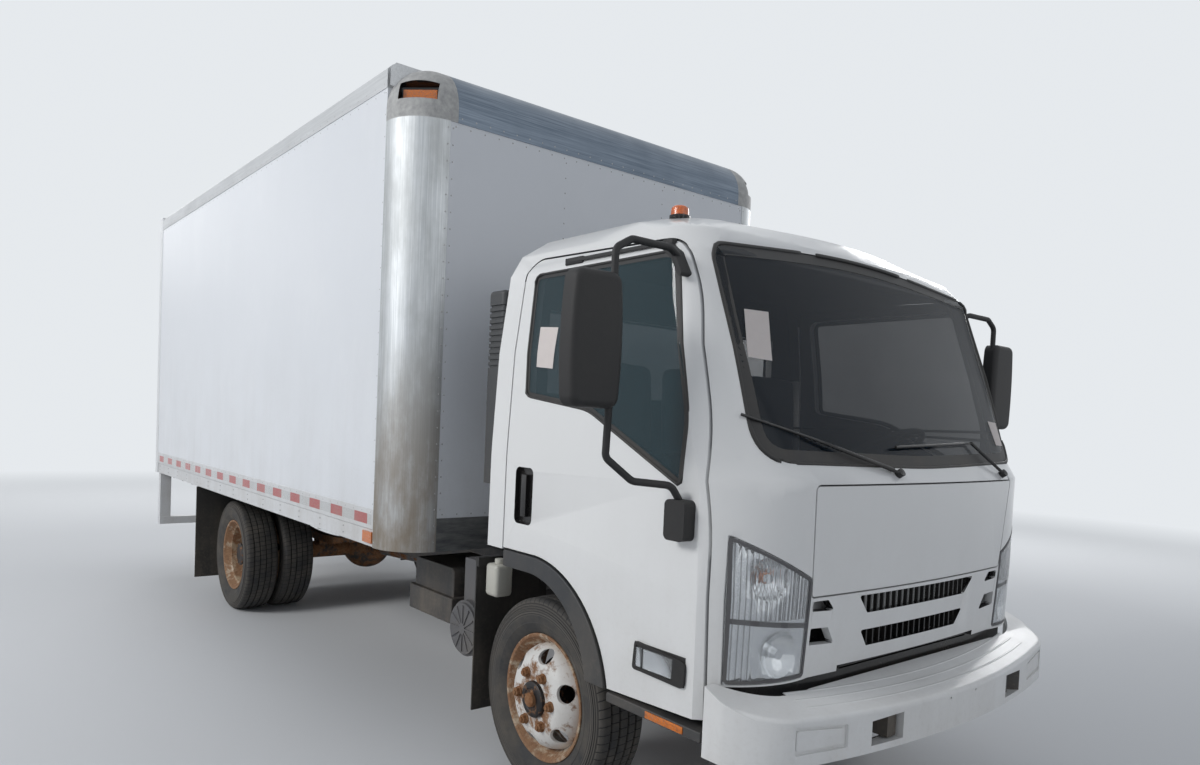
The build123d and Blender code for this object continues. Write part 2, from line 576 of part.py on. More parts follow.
# The cab nose's corner with its gap, as three points (distance ahead, y)
NOSE_GAP = [(915, 1009), (999, 922), (1068, 622)]
with BuildPart() as front_bumper:
    add(bumper_form(0))
    crest = front_bumper.faces().sort_by(Axis.X)[-1].edges().sort_by(Axis.Z)[-1]
    fillet(crest, 18)
    add(bumper_form(BUMPER_WALL), mode=Mode.SUBTRACT)
    for side in (-1, 1):
        block((ahead(FOG_HOLE_X - 6), ahead(1232)), sorted((side * FOG_BOSS[0][0], side * FOG_BOSS[0][1])),
              FOG_BOSS[1])
    with BuildSketch(Plane.XY.offset(FLOOR_LEVEL)):
        with BuildLine():
            corner, middle, front = NOSE_GAP
            for side in (-1, 1):
                ThreePointArc((ahead(corner[0]), side * corner[1]), (ahead(middle[0]), side * middle[1]),
                              (ahead(front[0]), side * front[1]))
            Line((ahead(front[0]), -front[1]), (ahead(front[0]), front[1]))
            Line((ahead(corner[0]), -corner[1]), (ahead(corner[0]), corner[1]))
        make_face()
    extrude(amount=250, mode=Mode.SUBTRACT)
    for side in (-1, 1):
        for distance, (y_limits, z_limits) in ((FOG_MOUTH_X, FOG_MOUTH), (FOG_HOLE_X, FOG_HOLE)):
            with BuildSketch(Plane.YZ.offset(ahead(distance))):
                with Locations((side * sum(y_limits) / 2, sum(z_limits) / 2)):
                    Rectangle(y_limits[1] - y_limits[0], z_limits[1] - z_limits[0])
        loft(ruled=True, mode=Mode.SUBTRACT)
        block((ahead(1150), ahead(FOG_HOLE_X)), sorted((side * FOG_HOLE[0][0], side * FOG_HOLE[0][1])),
              FOG_HOLE[1], mode=Mode.SUBTRACT)
        add(bumper_layer(0, 10, [(side * y, z) for y, z in BLANK_RECESS]), mode=Mode.SUBTRACT)
        add(bumper_layer(4, 12, [(side * y, z) for y, z in BLANK_COVER]))
        plate_y = side * PLATE_SPACING / 2
        add(rod((ahead(1200), plate_y, PLATE_HEIGHT), (ahead(1300), plate_y, PLATE_HEIGHT), PLATE_HOLE),
            mode=Mode.SUBTRACT)
        block((ahead(HORN_END), ahead(1240)), sorted((side * 375, side * RAIL_OUTER_Y)), (540, 625))
finish(front_bumper, "front_bumper")

# Chassis frame: two channel rails, lower at the front where the cab's nose sits over them
RAIL_BOTTOM = RAIL_TOP - RAIL_DEPTH
RAIL_END_X = BOX_REAR_X + 100
RAIL_LOWER_EDGE = [(RAIL_END_X, RAIL_BOTTOM), (ahead(660), RAIL_BOTTOM), (ahead(820), HORN_BOTTOM),
                   (ahead(HORN_END), HORN_BOTTOM)]
RAIL_UPPER_EDGE = [(ahead(HORN_END), HORN_TOP), (ahead(840), HORN_TOP), (ahead(680), RAIL_TOP),
                   (RAIL_END_X, RAIL_TOP)]
with BuildPart() as frame_rails:
    with BuildSketch(Plane.XZ.offset(-RAIL_OUTER_Y)):
        with BuildLine():
            Polyline(RAIL_LOWER_EDGE + RAIL_UPPER_EDGE, close=True)
        make_face()
    extrude(amount=RAIL_FLANGE)
    with BuildSketch(Plane.XZ.offset(RAIL_GAUGE - RAIL_OUTER_Y)):
        with BuildLine():
            Polyline([(x, z + RAIL_GAUGE) for x, z in RAIL_LOWER_EDGE]
                     + [(x, z - RAIL_GAUGE) for x, z in RAIL_UPPER_EDGE], close=True)
        make_face()
    extrude(amount=RAIL_FLANGE - RAIL_GAUGE, mode=Mode.SUBTRACT)
    mirror(about=Plane.XZ)
finish(frame_rails, "frame_rails")

CROSSMEMBERS = [-5500, -4640, -3050, -2050, -1180]
MEMBER_HALF = RAIL_OUTER_Y - RAIL_GAUGE
with BuildPart() as frame_crossmembers:
    for place in CROSSMEMBERS:
        block((ahead(place - 40), ahead(place + 40)), (-MEMBER_HALF, MEMBER_HALF),
              (RAIL_BOTTOM + 20, RAIL_TOP - 20))
        block((ahead(place - 32), ahead(place + 41)), (-MEMBER_HALF, MEMBER_HALF),
              (RAIL_BOTTOM + 28, RAIL_TOP - 28), mode=Mode.SUBTRACT)
    block((ahead(1010), ahead(1090)), (-MEMBER_HALF, MEMBER_HALF), (HORN_BOTTOM + 10, HORN_TOP - 10))
finish(frame_crossmembers, "frame_crossmembers")


LEAF_LENGTHS = (1.0, 0.76, 0.5)


def leaf_pack(centre_x, seat, eye, thickness, y_range, half_length=620.0):
    """Curved leaves, each shorter than the one above, with eyes and brackets up to the rail."""
    gauge = thickness / len(LEAF_LENGTHS)
    rise = eye + 12 - (seat + thickness)
    radius = (half_length ** 2 + rise ** 2) / (2 * rise)

    def place(out, turn):
        return centre_x + out * sin(turn), seat + thickness + radius - out * cos(turn)

    with BuildPart() as pack:
        for index, share in enumerate(LEAF_LENGTHS):
            upper, lower = radius + index * gauge, radius + (index + 1) * gauge
            turn = share * half_length / radius
            with BuildSketch(Plane.XZ.offset(-y_range[1])):
                with BuildLine():
                    ThreePointArc(place(upper, -turn), place(upper, 0), place(upper, turn))
                    ThreePointArc(place(lower, -turn), place(lower, 0), place(lower, turn))
                    Line(place(upper, -turn), place(lower, -turn))
                    Line(place(upper, turn), place(lower, turn))
                make_face()
            extrude(amount=y_range[1] - y_range[0])
        for end in (-1, 1):
            eye_x = centre_x + end * half_length
            add(rod((eye_x, y_range[0] - 6, eye), (eye_x, y_range[1] + 6, eye), 24))
            block((eye_x - 26, eye_x + 26), y_range, (eye, RAIL_BOTTOM))
    return pack.part


# Front axle: a dropped beam with kingpin bosses, on two leaf packs
SPRING_Y = (358.0, 422.0)
BOSS = (352.0, 448.0)
KINGPIN_RADIUS = 22.0
with BuildPart() as front_axle:
    with BuildSketch(Plane.YZ.offset(ahead(-42))):
        with BuildLine():
            Polyline((-670, 365), (-560, 365), (-480, 300), (480, 300), (560, 365), (670, 365),
                     (670, 435), (540, 435), (450, 378), (-450, 378), (-540, 435), (-670, 435),
                     close=True)
        make_face()
    extrude(amount=84)
    for side in (-1, 1):
        with BuildSketch(Plane.XY.offset(BOSS[0])):
            with Locations((ahead(0), side * KINGPIN_Y)):
                Circle(44)
        extrude(amount=BOSS[1] - BOSS[0])
        with BuildSketch(Plane.XY.offset(BOSS[0])):
            with Locations((ahead(0), side * KINGPIN_Y)):
                Circle(KINGPIN_RADIUS + 0.5)
        extrude(amount=BOSS[1] - BOSS[0], mode=Mode.SUBTRACT)
        add(leaf_pack(ahead(0), 375, 560, 62, sorted((side * SPRING_Y[0], side * SPRING_Y[1]))))
finish(front_axle, "front_axle")

# Rear axle: housing with a round differential case, on two leaf packs
DUAL_SPINDLE_END = 985.0
DUAL_SPINDLE_RADIUS = 48.0
with BuildPart() as rear_axle:
    add(rod((REAR_AXLE_X, -640, HUB_HEIGHT), (REAR_AXLE_X, 640, HUB_HEIGHT), 66))
    add(rod((REAR_AXLE_X, -DUAL_SPINDLE_END, HUB_HEIGHT), (REAR_AXLE_X, DUAL_SPINDLE_END, HUB_HEIGHT),
        DUAL_SPINDLE_RADIUS))
    with BuildSketch(Plane.XY.offset(HUB_HEIGHT)):
        with BuildLine():
            ThreePointArc((REAR_AXLE_X, -200), (REAR_AXLE_X + 175, 0), (REAR_AXLE_X, 200))
            Line((REAR_AXLE_X, 200), (REAR_AXLE_X, -200))
        make_face()
    revolve(axis=Axis((REAR_AXLE_X, 0, HUB_HEIGHT), (0, 1, 0)))
    add(rod((REAR_AXLE_X, 0, HUB_HEIGHT), (REAR_AXLE_X + 260, 0, HUB_HEIGHT + 12), 62))
    for side in (-1, 1):
        block((REAR_AXLE_X - 60, REAR_AXLE_X + 60), sorted((side * SPRING_Y[0], side * SPRING_Y[1])),
              (440, 482))
        add(leaf_pack(REAR_AXLE_X, 480, 574, 54, sorted((side * SPRING_Y[0], side * SPRING_Y[1])), 660.0))
finish(rear_axle, "rear_axle")

# Powertrain: the closed engine as one plain block on its mounts, gearbox, shaft and radiator
with BuildPart() as powertrain:
    block((ahead(-330), ahead(340)), (-290, 290), (520, 1110))
    block((ahead(-60), ahead(60)), (-MEMBER_HALF, MEMBER_HALF), (640, 700))
    with BuildSketch(Plane.YZ.offset(ahead(-330))):
        with Locations((0, 660)):
            Rectangle(420, 300)
    with BuildSketch(Plane.YZ.offset(ahead(-1080))):
        with Locations((0, 575)):
            Rectangle(180, 160)
    loft()
    add(rod((ahead(-1070), 0, 558), (ahead(-WHEELBASE + 266), 0, HUB_HEIGHT + 14), 42))
    block((ahead(520), ahead(610)), (-340, 340), (610, 1090))
    block((ahead(340), ahead(520)), (-90, 90), (760, 940))
    block((ahead(540), ahead(590)), (-MEMBER_HALF, MEMBER_HALF), (625, 665))
finish(powertrain, "powertrain")

# Exhaust, fuel tank, battery box and air cleaner along the rails
EXHAUST_Y = 570.0
with BuildPart() as exhaust:
    add(rod((ahead(-2300), EXHAUST_Y, 600), (ahead(-1500), EXHAUST_Y, 600), 105))
    add(rod((ahead(-1500), EXHAUST_Y, 600), (ahead(-1150), EXHAUST_Y, 600), 38))
    add(rod((ahead(-2900), EXHAUST_Y, 600), (ahead(-2300), EXHAUST_Y, 600), 38))
    block((ahead(-2150), ahead(-2110)), (RAIL_OUTER_Y, EXHAUST_Y), (690, 740))
    block((ahead(-1690), ahead(-1650)), (RAIL_OUTER_Y, EXHAUST_Y), (690, 740))
finish(exhaust, "exhaust")

with BuildPart() as fuel_tank:
    block((ahead(-5400), ahead(-4760)), (-335, 335), (470, 760))
    fillet(fuel_tank.edges().filter_by(Axis.X), 40)
    for place in (-5240, -4920):
        block((ahead(place - 25), ahead(place + 25)), (-MEMBER_HALF, MEMBER_HALF), (700, 770))
finish(fuel_tank, "fuel_tank")

with BuildPart() as battery_box:
    block((ahead(-1240), ahead(-800)), (-900, -RAIL_OUTER_Y), (521, 647))
    block((ahead(-1220), ahead(-820)), (-880, -560), (647, 790))
    chamfer(battery_box.edges().filter_by(Axis.Y).group_by(Axis.Z)[-1], 20)
    block((ahead(-1100), ahead(-940)), (-560, -RAIL_OUTER_Y), (647, 700))
finish(battery_box, "battery_box")

CLEANER_CENTRE = (ahead(-650), 540)
with BuildPart() as air_cleaner:
    with BuildSketch(Plane.XZ.offset(545)):
        with Locations(CLEANER_CENTRE):
            Circle(130)
    extrude(amount=365)
    with BuildSketch(Plane.XZ.offset(910)):
        with Locations(CLEANER_CENTRE):
            Circle(118)
    extrude(amount=14)
    with BuildSketch(Plane.XZ.offset(924)):
        with Locations(CLEANER_CENTRE):
            Circle(26)
            with PolarLocations(64, 12):
                Rectangle(88, 8)
    extrude(amount=6)
    block((ahead(-700), ahead(-600)), (-560, -RAIL_OUTER_Y), (610, 690))
    block((ahead(-720), ahead(-580)), (-880, -700), (600, 860))
finish(air_cleaner, "air_cleaner")

# Knuckles: ears round the kingpin boss, a spindle outwards and an arm back to the tie rod
TIE_ARM = 190.0
TIE_ROD_HEIGHT = 299.0
SPINDLE_RADIUS = 30.0
with BuildPart() as knuckle_left:
    add(rod((ahead(0), KINGPIN_Y, 312), (ahead(0), KINGPIN_Y, 488), KINGPIN_RADIUS))
    block((ahead(-45), ahead(45)), (KINGPIN_Y - 45, 788), (BOSS[1] + 5, 488))
    block((ahead(-45), ahead(45)), (KINGPIN_Y - 45, 788), (312, BOSS[0] - 5))
    block((ahead(-60), ahead(60)), (KINGPIN_Y + 50, 788), (312, 488))
    add(rod((ahead(0), 788, HUB_HEIGHT), (ahead(0), 975, HUB_HEIGHT), SPINDLE_RADIUS))
    block((ahead(-TIE_ARM - 24), ahead(-40)), (KINGPIN_Y - 18, KINGPIN_Y + 18), (318, 342))
    add(rod((ahead(-TIE_ARM), KINGPIN_Y, 280), (ahead(-TIE_ARM), KINGPIN_Y, 330), 12))
finish(knuckle_left, "knuckle_left")
with BuildPart() as knuckle_right:
    mirror(knuckle_left.part, about=Plane.XZ)
finish(knuckle_right, "knuckle_right")

with BuildPart() as tie_rod:
    add(rod((ahead(-TIE_ARM), -KINGPIN_Y, TIE_ROD_HEIGHT), (ahead(-TIE_ARM), KINGPIN_Y, TIE_ROD_HEIGHT), 10))
    for side in (-1, 1):
        add(rod((ahead(-TIE_ARM), side * KINGPIN_Y, 286), (ahead(-TIE_ARM), side * KINGPIN_Y, 312), 25))
    for side in (-1, 1):
        add(rod((ahead(-TIE_ARM), side * KINGPIN_Y, 270), (ahead(-TIE_ARM), side * KINGPIN_Y, 330), 12.6),
            mode=Mode.SUBTRACT)
finish(tie_rod, "tie_rod")

# Wheels. The profile's columns are distance out from the wheel's middle plane towards its
# dished face, and radius.
RIM_HALF = 89.0
RIM_WELL_RADIUS = 214.0
NAVE_OFFSET = 130.0
NAVE_RADIUS = 150.0
DISC_GAUGE = 12.0
RIM_PROFILE = [(-RIM_HALF, RIM_RADIUS), (-50, RIM_WELL_RADIUS + 10), (25, RIM_WELL_RADIUS + 10),
               (RIM_HALF, RIM_RADIUS), (RIM_HALF, RIM_RADIUS - 10), (38, RIM_WELL_RADIUS),
               (NAVE_OFFSET - 22, NAVE_RADIUS + 14), (NAVE_OFFSET, NAVE_RADIUS - 8),
               (NAVE_OFFSET, 60), (NAVE_OFFSET - DISC_GAUGE, 60),
               (NAVE_OFFSET - DISC_GAUGE, NAVE_RADIUS - 14), (18, RIM_WELL_RADIUS),
               (-45, RIM_WELL_RADIUS), (-RIM_HALF, RIM_RADIUS - 10)]
BEAD_GAP = 1.0
TREAD_HALF, SHOULDER, SIDEWALL = 80.0, (103.0, 390.0), (113.0, 330.0)
TYRE_HALF_PROFILE = [(RIM_HALF, RIM_RADIUS + BEAD_GAP), SIDEWALL, SHOULDER, (TREAD_HALF, TYRE_RADIUS)]
TYRE_PROFILE = TYRE_HALF_PROFILE + [(-out, radius) for out, radius in reversed(TYRE_HALF_PROFILE)]
BEARING_GAP = 1.0
STUD_CIRCLE = 222.25 / 2
HAND_HOLE_CIRCLE = 184.0
HAND_HOLE_RADIUS = 27.0
NUT_RADIUS = 19.0


def ring(profile, x, y, facing):
    """A closed profile of (offset, radius) turned about a wheel's axle."""
    with BuildPart() as turned:
        with BuildSketch(Plane.XY.offset(HUB_HEIGHT)):
            with BuildLine():
                Polyline([(x + radius, y + facing * out) for out, radius in profile], close=True)
            make_face()
        revolve(axis=Axis((x, y, HUB_HEIGHT), (0, 1, 0)))
    return turned.part


def wheel_disc(x, y, facing):
    """One rim with its six hand holes. Facing is the side of the dished face, 1 or -1."""
    with BuildPart() as disc:
        add(ring(RIM_PROFILE, x, y, facing))
        for index in range(6):
            turn = radians(30 + 60 * index)
            hole_x = x + HAND_HOLE_CIRCLE * cos(turn)
            hole_z = HUB_HEIGHT + HAND_HOLE_CIRCLE * sin(turn)
            add(rod((hole_x, y + facing * 45, hole_z), (hole_x, y + facing * 140, hole_z),
                    HAND_HOLE_RADIUS), mode=Mode.SUBTRACT)
    return disc.part


def wheel_nuts(x, y, facing, height):
    """Six nuts on the stud circle, standing out from a nave face at y."""
    with BuildPart() as nuts:
        with BuildSketch(Plane(origin=(x, y, HUB_HEIGHT), x_dir=(1, 0, 0), z_dir=(0, facing, 0))):
            with PolarLocations(STUD_CIRCLE, 6):
                RegularPolygon(NUT_RADIUS, 6)
        extrude(amount=height)
    return nuts.part


for name, side in (("left", 1), ("right", -1)):
    middle_y = side * FRONT_WHEEL_Y
    face_y = middle_y + side * NAVE_OFFSET
    with BuildPart() as front_rim:
        add(wheel_disc(ahead(0), middle_y, side))
        add(rod((ahead(0), side * 795, HUB_HEIGHT), (ahead(0), side * 985, HUB_HEIGHT), 66))
        add(rod((ahead(0), side * 795, HUB_HEIGHT), (ahead(0), side * 840, HUB_HEIGHT), 165))
        add(rod((ahead(0), side * 790, HUB_HEIGHT), (ahead(0), side * 976, HUB_HEIGHT),
                SPINDLE_RADIUS + BEARING_GAP), mode=Mode.SUBTRACT)
        add(rod((ahead(0), side * 985, HUB_HEIGHT), (ahead(0), side * 1000, HUB_HEIGHT), 44))
        add(wheel_nuts(ahead(0), face_y, side, 26))
    finish(front_rim, f"front_wheel_{name}")
    with BuildPart() as front_tyre:
        add(ring(TYRE_PROFILE, ahead(0), middle_y, side))
    finish(front_tyre, f"front_tyre_{name}")

    nave_y = side * (REAR_OUTER_Y - NAVE_OFFSET)
    with BuildPart() as rear_rims:
        add(wheel_disc(REAR_AXLE_X, side * REAR_OUTER_Y, -side))
        add(wheel_disc(REAR_AXLE_X, side * REAR_INNER_Y, side))
        add(rod((REAR_AXLE_X, side * 660, HUB_HEIGHT), (REAR_AXLE_X, side * 1000, HUB_HEIGHT), 66))
        add(rod((REAR_AXLE_X, side * 660, HUB_HEIGHT), (REAR_AXLE_X, side * 705, HUB_HEIGHT), 165))
        add(rod((REAR_AXLE_X, side * 1000, HUB_HEIGHT), (REAR_AXLE_X, side * 1010, HUB_HEIGHT), 85))
        add(rod((REAR_AXLE_X, side * 650, HUB_HEIGHT), (REAR_AXLE_X, side * 990, HUB_HEIGHT),
                DUAL_SPINDLE_RADIUS + BEARING_GAP), mode=Mode.SUBTRACT)
        add(wheel_nuts(REAR_AXLE_X, nave_y + side * DISC_GAUGE, side, 30))
    finish(rear_rims, f"rear_wheels_{name}")
    with BuildPart() as rear_tyres:
        add(ring(TYRE_PROFILE, REAR_AXLE_X, side * REAR_OUTER_Y, side))
        add(ring(TYRE_PROFILE, REAR_AXLE_X, side * REAR_INNER_Y, side))
    finish(rear_tyres, f"rear_tyres_{name}")

# Mudflaps: the short pair behind the front wheels and the wide pair behind the rear wheels
with BuildPart() as mudflaps:
    block((ahead(-508), ahead(-500)), (560, 950), (205, 900))
    block((ahead(-508), ahead(-484)), (560, 950), (860, 900))
    add(rod((ahead(-504), RAIL_OUTER_Y, 770), (ahead(-504), 600, 770), 16))
    block((ahead(-4345), ahead(-4333)), (570, 1190), (154, 870))
    mirror(about=Plane.XZ)
finish(mudflaps, "mudflaps")

# Freight box, from the floor up
CROSS_PITCH = 304.8
FRONT_HALF = BOX_HALF_WIDTH - BOX_CORNER_RADIUS
CROSS_TOP = 970.0
with BuildPart() as cargo_floor:
    block((BOX_REAR_X + 70, BOX_FRONT_X - POST_SIDE_LEG), (-1179, 1179), (CROSS_TOP, DECK_TOP))
    block((BOX_REAR_X + 70, BOX_FRONT_X - BOX_WALL), (-FRONT_HALF, FRONT_HALF), (CROSS_TOP, DECK_TOP))
    for index in range(15):
        start = BOX_REAR_X + 180 + index * CROSS_PITCH
        block((start, start + 45), (-1179, 1179), (870, CROSS_TOP))
    for side in (-1, 1):
        block((RAIL_END_X, BOX_FRONT_X - BOX_WALL),
              sorted((side * (RAIL_OUTER_Y - 62), side * RAIL_OUTER_Y)), (RAIL_TOP, 870))
finish(cargo_floor, "cargo_floor")

SIDE_START_X = BOX_REAR_X + 70
SIDE_END_X = BOX_FRONT_X - POST_SIDE_LEG
with BuildPart() as cargo_side_rails:
    with BuildSketch(Plane.YZ.offset(SIDE_START_X)):
        with BuildLine():
            Polyline((1179, BOX_BOTTOM), (1211, BOX_BOTTOM), (1211, 965), (BOX_HALF_WIDTH, 970),
                     (BOX_HALF_WIDTH, SIDE_RAIL_TOP), (1179, SIDE_RAIL_TOP), close=True)
        make_face()
    extrude(amount=SIDE_END_X - SIDE_START_X)
    mirror(about=Plane.XZ)
finish(cargo_side_rails, "cargo_side_rails")

PANEL_SET_BACK = 3.0
SCUFF_TOP = 1041.0
with BuildPart() as cargo_walls:
    for side in (-1, 1):
        face_y = side * (BOX_HALF_WIDTH - PANEL_SET_BACK)
        block((SIDE_START_X, SIDE_END_X), sorted((face_y - side * BOX_WALL, face_y)),
              (SIDE_RAIL_TOP, TOP_RAIL_BOTTOM))
    block((BOX_FRONT_X - BOX_WALL, BOX_FRONT_X - PANEL_SET_BACK), (-FRONT_HALF, FRONT_HALF),
          (BOX_BOTTOM, POST_TOP))
    block((BOX_FRONT_X - BOX_WALL, BOX_FRONT_X), (-FRONT_HALF, FRONT_HALF), (BOX_BOTTOM, SCUFF_TOP))
finish(cargo_walls, "cargo_walls")

POST_GAUGE = 30.0
POST_CENTRE = (BOX_FRONT_X - BOX_CORNER_RADIUS, FRONT_HALF)
HALF_TURN = BOX_CORNER_RADIUS * cos(radians(45))
with BuildPart() as corner_post:
    inner = BOX_CORNER_RADIUS - POST_GAUGE
    with BuildSketch(Plane.XY.offset(BOX_BOTTOM)):
        with BuildLine():
            Line((SIDE_END_X, BOX_HALF_WIDTH), (POST_CENTRE[0], BOX_HALF_WIDTH))
            ThreePointArc((POST_CENTRE[0], BOX_HALF_WIDTH),
                          (POST_CENTRE[0] + HALF_TURN, POST_CENTRE[1] + HALF_TURN),
                          (BOX_FRONT_X, FRONT_HALF))
            Line((BOX_FRONT_X, FRONT_HALF), (BOX_FRONT_X - POST_GAUGE, FRONT_HALF))
            inner_turn = inner * cos(radians(45))
            ThreePointArc((BOX_FRONT_X - POST_GAUGE, FRONT_HALF),
                          (POST_CENTRE[0] + inner_turn, POST_CENTRE[1] + inner_turn),
                          (POST_CENTRE[0], BOX_HALF_WIDTH - POST_GAUGE))
            Polyline((POST_CENTRE[0], BOX_HALF_WIDTH - POST_GAUGE),
                     (SIDE_END_X, BOX_HALF_WIDTH - POST_GAUGE), (SIDE_END_X, BOX_HALF_WIDTH))
        make_face()
    extrude(amount=POST_TOP - BOX_BOTTOM)

CAP_STRAIGHT = BOX_TOP - BOX_CORNER_RADIUS


def quarter_profile(x, gauge):
    """The curved eaves in side view: a short upright, then a quarter turn to the roof."""
    inside = BOX_CORNER_RADIUS - gauge
    turn, inside_turn = BOX_CORNER_RADIUS * cos(radians(45)), inside * cos(radians(45))
    centre = (x - BOX_CORNER_RADIUS, CAP_STRAIGHT)
    with BuildLine() as edge:
        Line((x, POST_TOP), (x, CAP_STRAIGHT))
        ThreePointArc((x, CAP_STRAIGHT), (centre[0] + turn, centre[1] + turn), (centre[0], BOX_TOP))
        Line((centre[0], BOX_TOP), (centre[0], BOX_TOP - gauge))
        ThreePointArc((centre[0], BOX_TOP - gauge),
                      (centre[0] + inside_turn, centre[1] + inside_turn),
                      (x - gauge, CAP_STRAIGHT))
        Polyline((x - gauge, CAP_STRAIGHT), (x - gauge, POST_TOP), (x, POST_TOP))
    return edge.line


HEADER_HALF = 970.0
with BuildPart() as front_header:
    with BuildSketch(Plane.XZ.offset(-HEADER_HALF)):
        add(quarter_profile(BOX_FRONT_X, 25))
        make_face()
    extrude(amount=2 * HEADER_HALF)
finish(front_header, "front_header")

# Each cap has a pocket for its corner lamp, cut square to the corner's diagonal. Places in it
# are (distance out from the corner's centre, height).
DIAGONAL = Plane(origin=(POST_CENTRE[0], POST_CENTRE[1], 0), x_dir=(1, 1, 0), z_dir=(1, -1, 0))
POCKET = [(132, 2965), (260, 2965), (260, 3086), (132, 3038)]
POCKET_WIDTH = 186.0
POCKET_BACK = [(112, 2950), (147, 2950), (147, 3046), (112, 3046)]
CAP_LENS = [(132, 2974), (152, 2978), (152, 3020), (132, 3028)]
LENS_WIDTH = 160.0


def diagonal_bar(corners, width):
    """A profile on the corner's diagonal, carried evenly to both sides of it."""
    with BuildPart() as bar:
        with BuildSketch(DIAGONAL):
            with BuildLine():
                Polyline(corners, close=True)
            make_face()
        extrude(amount=width / 2, both=True)
    return bar.part


with BuildPart() as corner_posts:
    add(corner_post.part)
    with BuildSketch(Plane.XZ.offset(-FRONT_HALF)):
        add(quarter_profile(BOX_FRONT_X, POST_GAUGE))
        make_face()
    revolve(axis=Axis((POST_CENTRE[0], POST_CENTRE[1], 0), (0, 0, 1)), revolution_arc=90)
    with BuildSketch(Plane.XZ.offset(-FRONT_HALF)):
        add(quarter_profile(BOX_FRONT_X, POST_GAUGE))
        make_face()
    extrude(amount=FRONT_HALF - HEADER_HALF)
    with BuildSketch(Plane.YZ.offset(POST_CENTRE[0])):
        add(quarter_profile(BOX_HALF_WIDTH, POST_GAUGE))
        make_face()
    extrude(amount=-(POST_SIDE_LEG - BOX_CORNER_RADIUS))
    add(diagonal_bar(POCKET_BACK, POCKET_WIDTH + 14))
    add(diagonal_bar(POCKET, POCKET_WIDTH), mode=Mode.SUBTRACT)
    mirror(about=Plane.XZ)
finish(corner_posts, "corner_posts")

ROOF_GAUGE = 25.0
with BuildPart() as cargo_roof:
    with BuildSketch(Plane.YZ.offset(SIDE_START_X)):
        with BuildLine():
            Polyline((-BOX_HALF_WIDTH, TOP_RAIL_BOTTOM), (-BOX_HALF_WIDTH, BOX_TOP - 26),
                     (-BOX_HALF_WIDTH + 26, BOX_TOP), (BOX_HALF_WIDTH - 26, BOX_TOP),
                     (BOX_HALF_WIDTH, BOX_TOP - 26), (BOX_HALF_WIDTH, TOP_RAIL_BOTTOM),
                     (BOX_HALF_WIDTH - 38, TOP_RAIL_BOTTOM), (BOX_HALF_WIDTH - 38, BOX_TOP - ROOF_GAUGE),
                     (-BOX_HALF_WIDTH + 38, BOX_TOP - ROOF_GAUGE),
                     (-BOX_HALF_WIDTH + 38, TOP_RAIL_BOTTOM), close=True)
        make_face()
    extrude(amount=SIDE_END_X - SIDE_START_X)
    block((SIDE_END_X, POST_CENTRE[0]), (-FRONT_HALF, FRONT_HALF), (BOX_TOP - ROOF_GAUGE, BOX_TOP))
finish(cargo_roof, "cargo_roof")

REAR_POST, REAR_HEADER_BOTTOM = 100.0, 2852.0
STEP_BAR = (414, 480)
with BuildPart() as rear_frame:
    block((REAR_FACE_X, SIDE_START_X), (-BOX_HALF_WIDTH, BOX_HALF_WIDTH), (BOX_BOTTOM, BOX_TOP))
    block((REAR_FACE_X - 1, SIDE_START_X + 1), (-BOX_HALF_WIDTH + REAR_POST, BOX_HALF_WIDTH - REAR_POST),
          (DECK_TOP, REAR_HEADER_BOTTOM), mode=Mode.SUBTRACT)
    block((TAIL_X + 10, TAIL_X + 82), (-1190, 1190), STEP_BAR)
    for side in (-1, 1):
        block((TAIL_X + 16, TAIL_X + 76), sorted((side * 1100, side * 1190)), (STEP_BAR[0], BOX_BOTTOM))
finish(rear_frame, "rear_frame")

DOOR_PANELS = 7
DOOR_HALF = BOX_HALF_WIDTH - REAR_POST
with BuildPart() as rollup_door:
    block((REAR_FACE_X + 20, REAR_FACE_X + 45), (-DOOR_HALF, DOOR_HALF), (DECK_TOP, REAR_HEADER_BOTTOM))
    panel_height = (REAR_HEADER_BOTTOM - DECK_TOP) / DOOR_PANELS
    for index in range(1, DOOR_PANELS):
        level = DECK_TOP + index * panel_height
        block((REAR_FACE_X + 19, REAR_FACE_X + 26), (-DOOR_HALF, DOOR_HALF), (level - 4, level + 4),
              mode=Mode.SUBTRACT)
finish(rollup_door, "rollup_door")

# Lamps on the box: columns are x, y, z limits of each lens
BOX_LAMPS = [
    ((TAIL_X, REAR_FACE_X), (-1180, -1130), (2990, 3050)),
    ((TAIL_X, REAR_FACE_X), (-60, 60), (2990, 3030)),
    ((TAIL_X, REAR_FACE_X), (-1190, -1110), (900, 980)),
    ((TAIL_X, REAR_FACE_X), (-1080, -1000), (900, 980)),
]
with BuildPart() as box_lamps:
    for x_limits, y_limits, z_limits in BOX_LAMPS:
        block(x_limits, y_limits, z_limits)
    block((ahead(-1130), ahead(-1030)), (1211, 1219), (900, 955))
    add(diagonal_bar(CAP_LENS, LENS_WIDTH))
    mirror(about=Plane.XZ)
finish(box_lamps, "box_lamps")
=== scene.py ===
"""The looks of a low cab forward box truck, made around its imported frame. Lengths are in metres."""

import json
import math

import bmesh
import bpy
from mathutils import Matrix, Vector
from mathutils.bvhtree import BVHTree

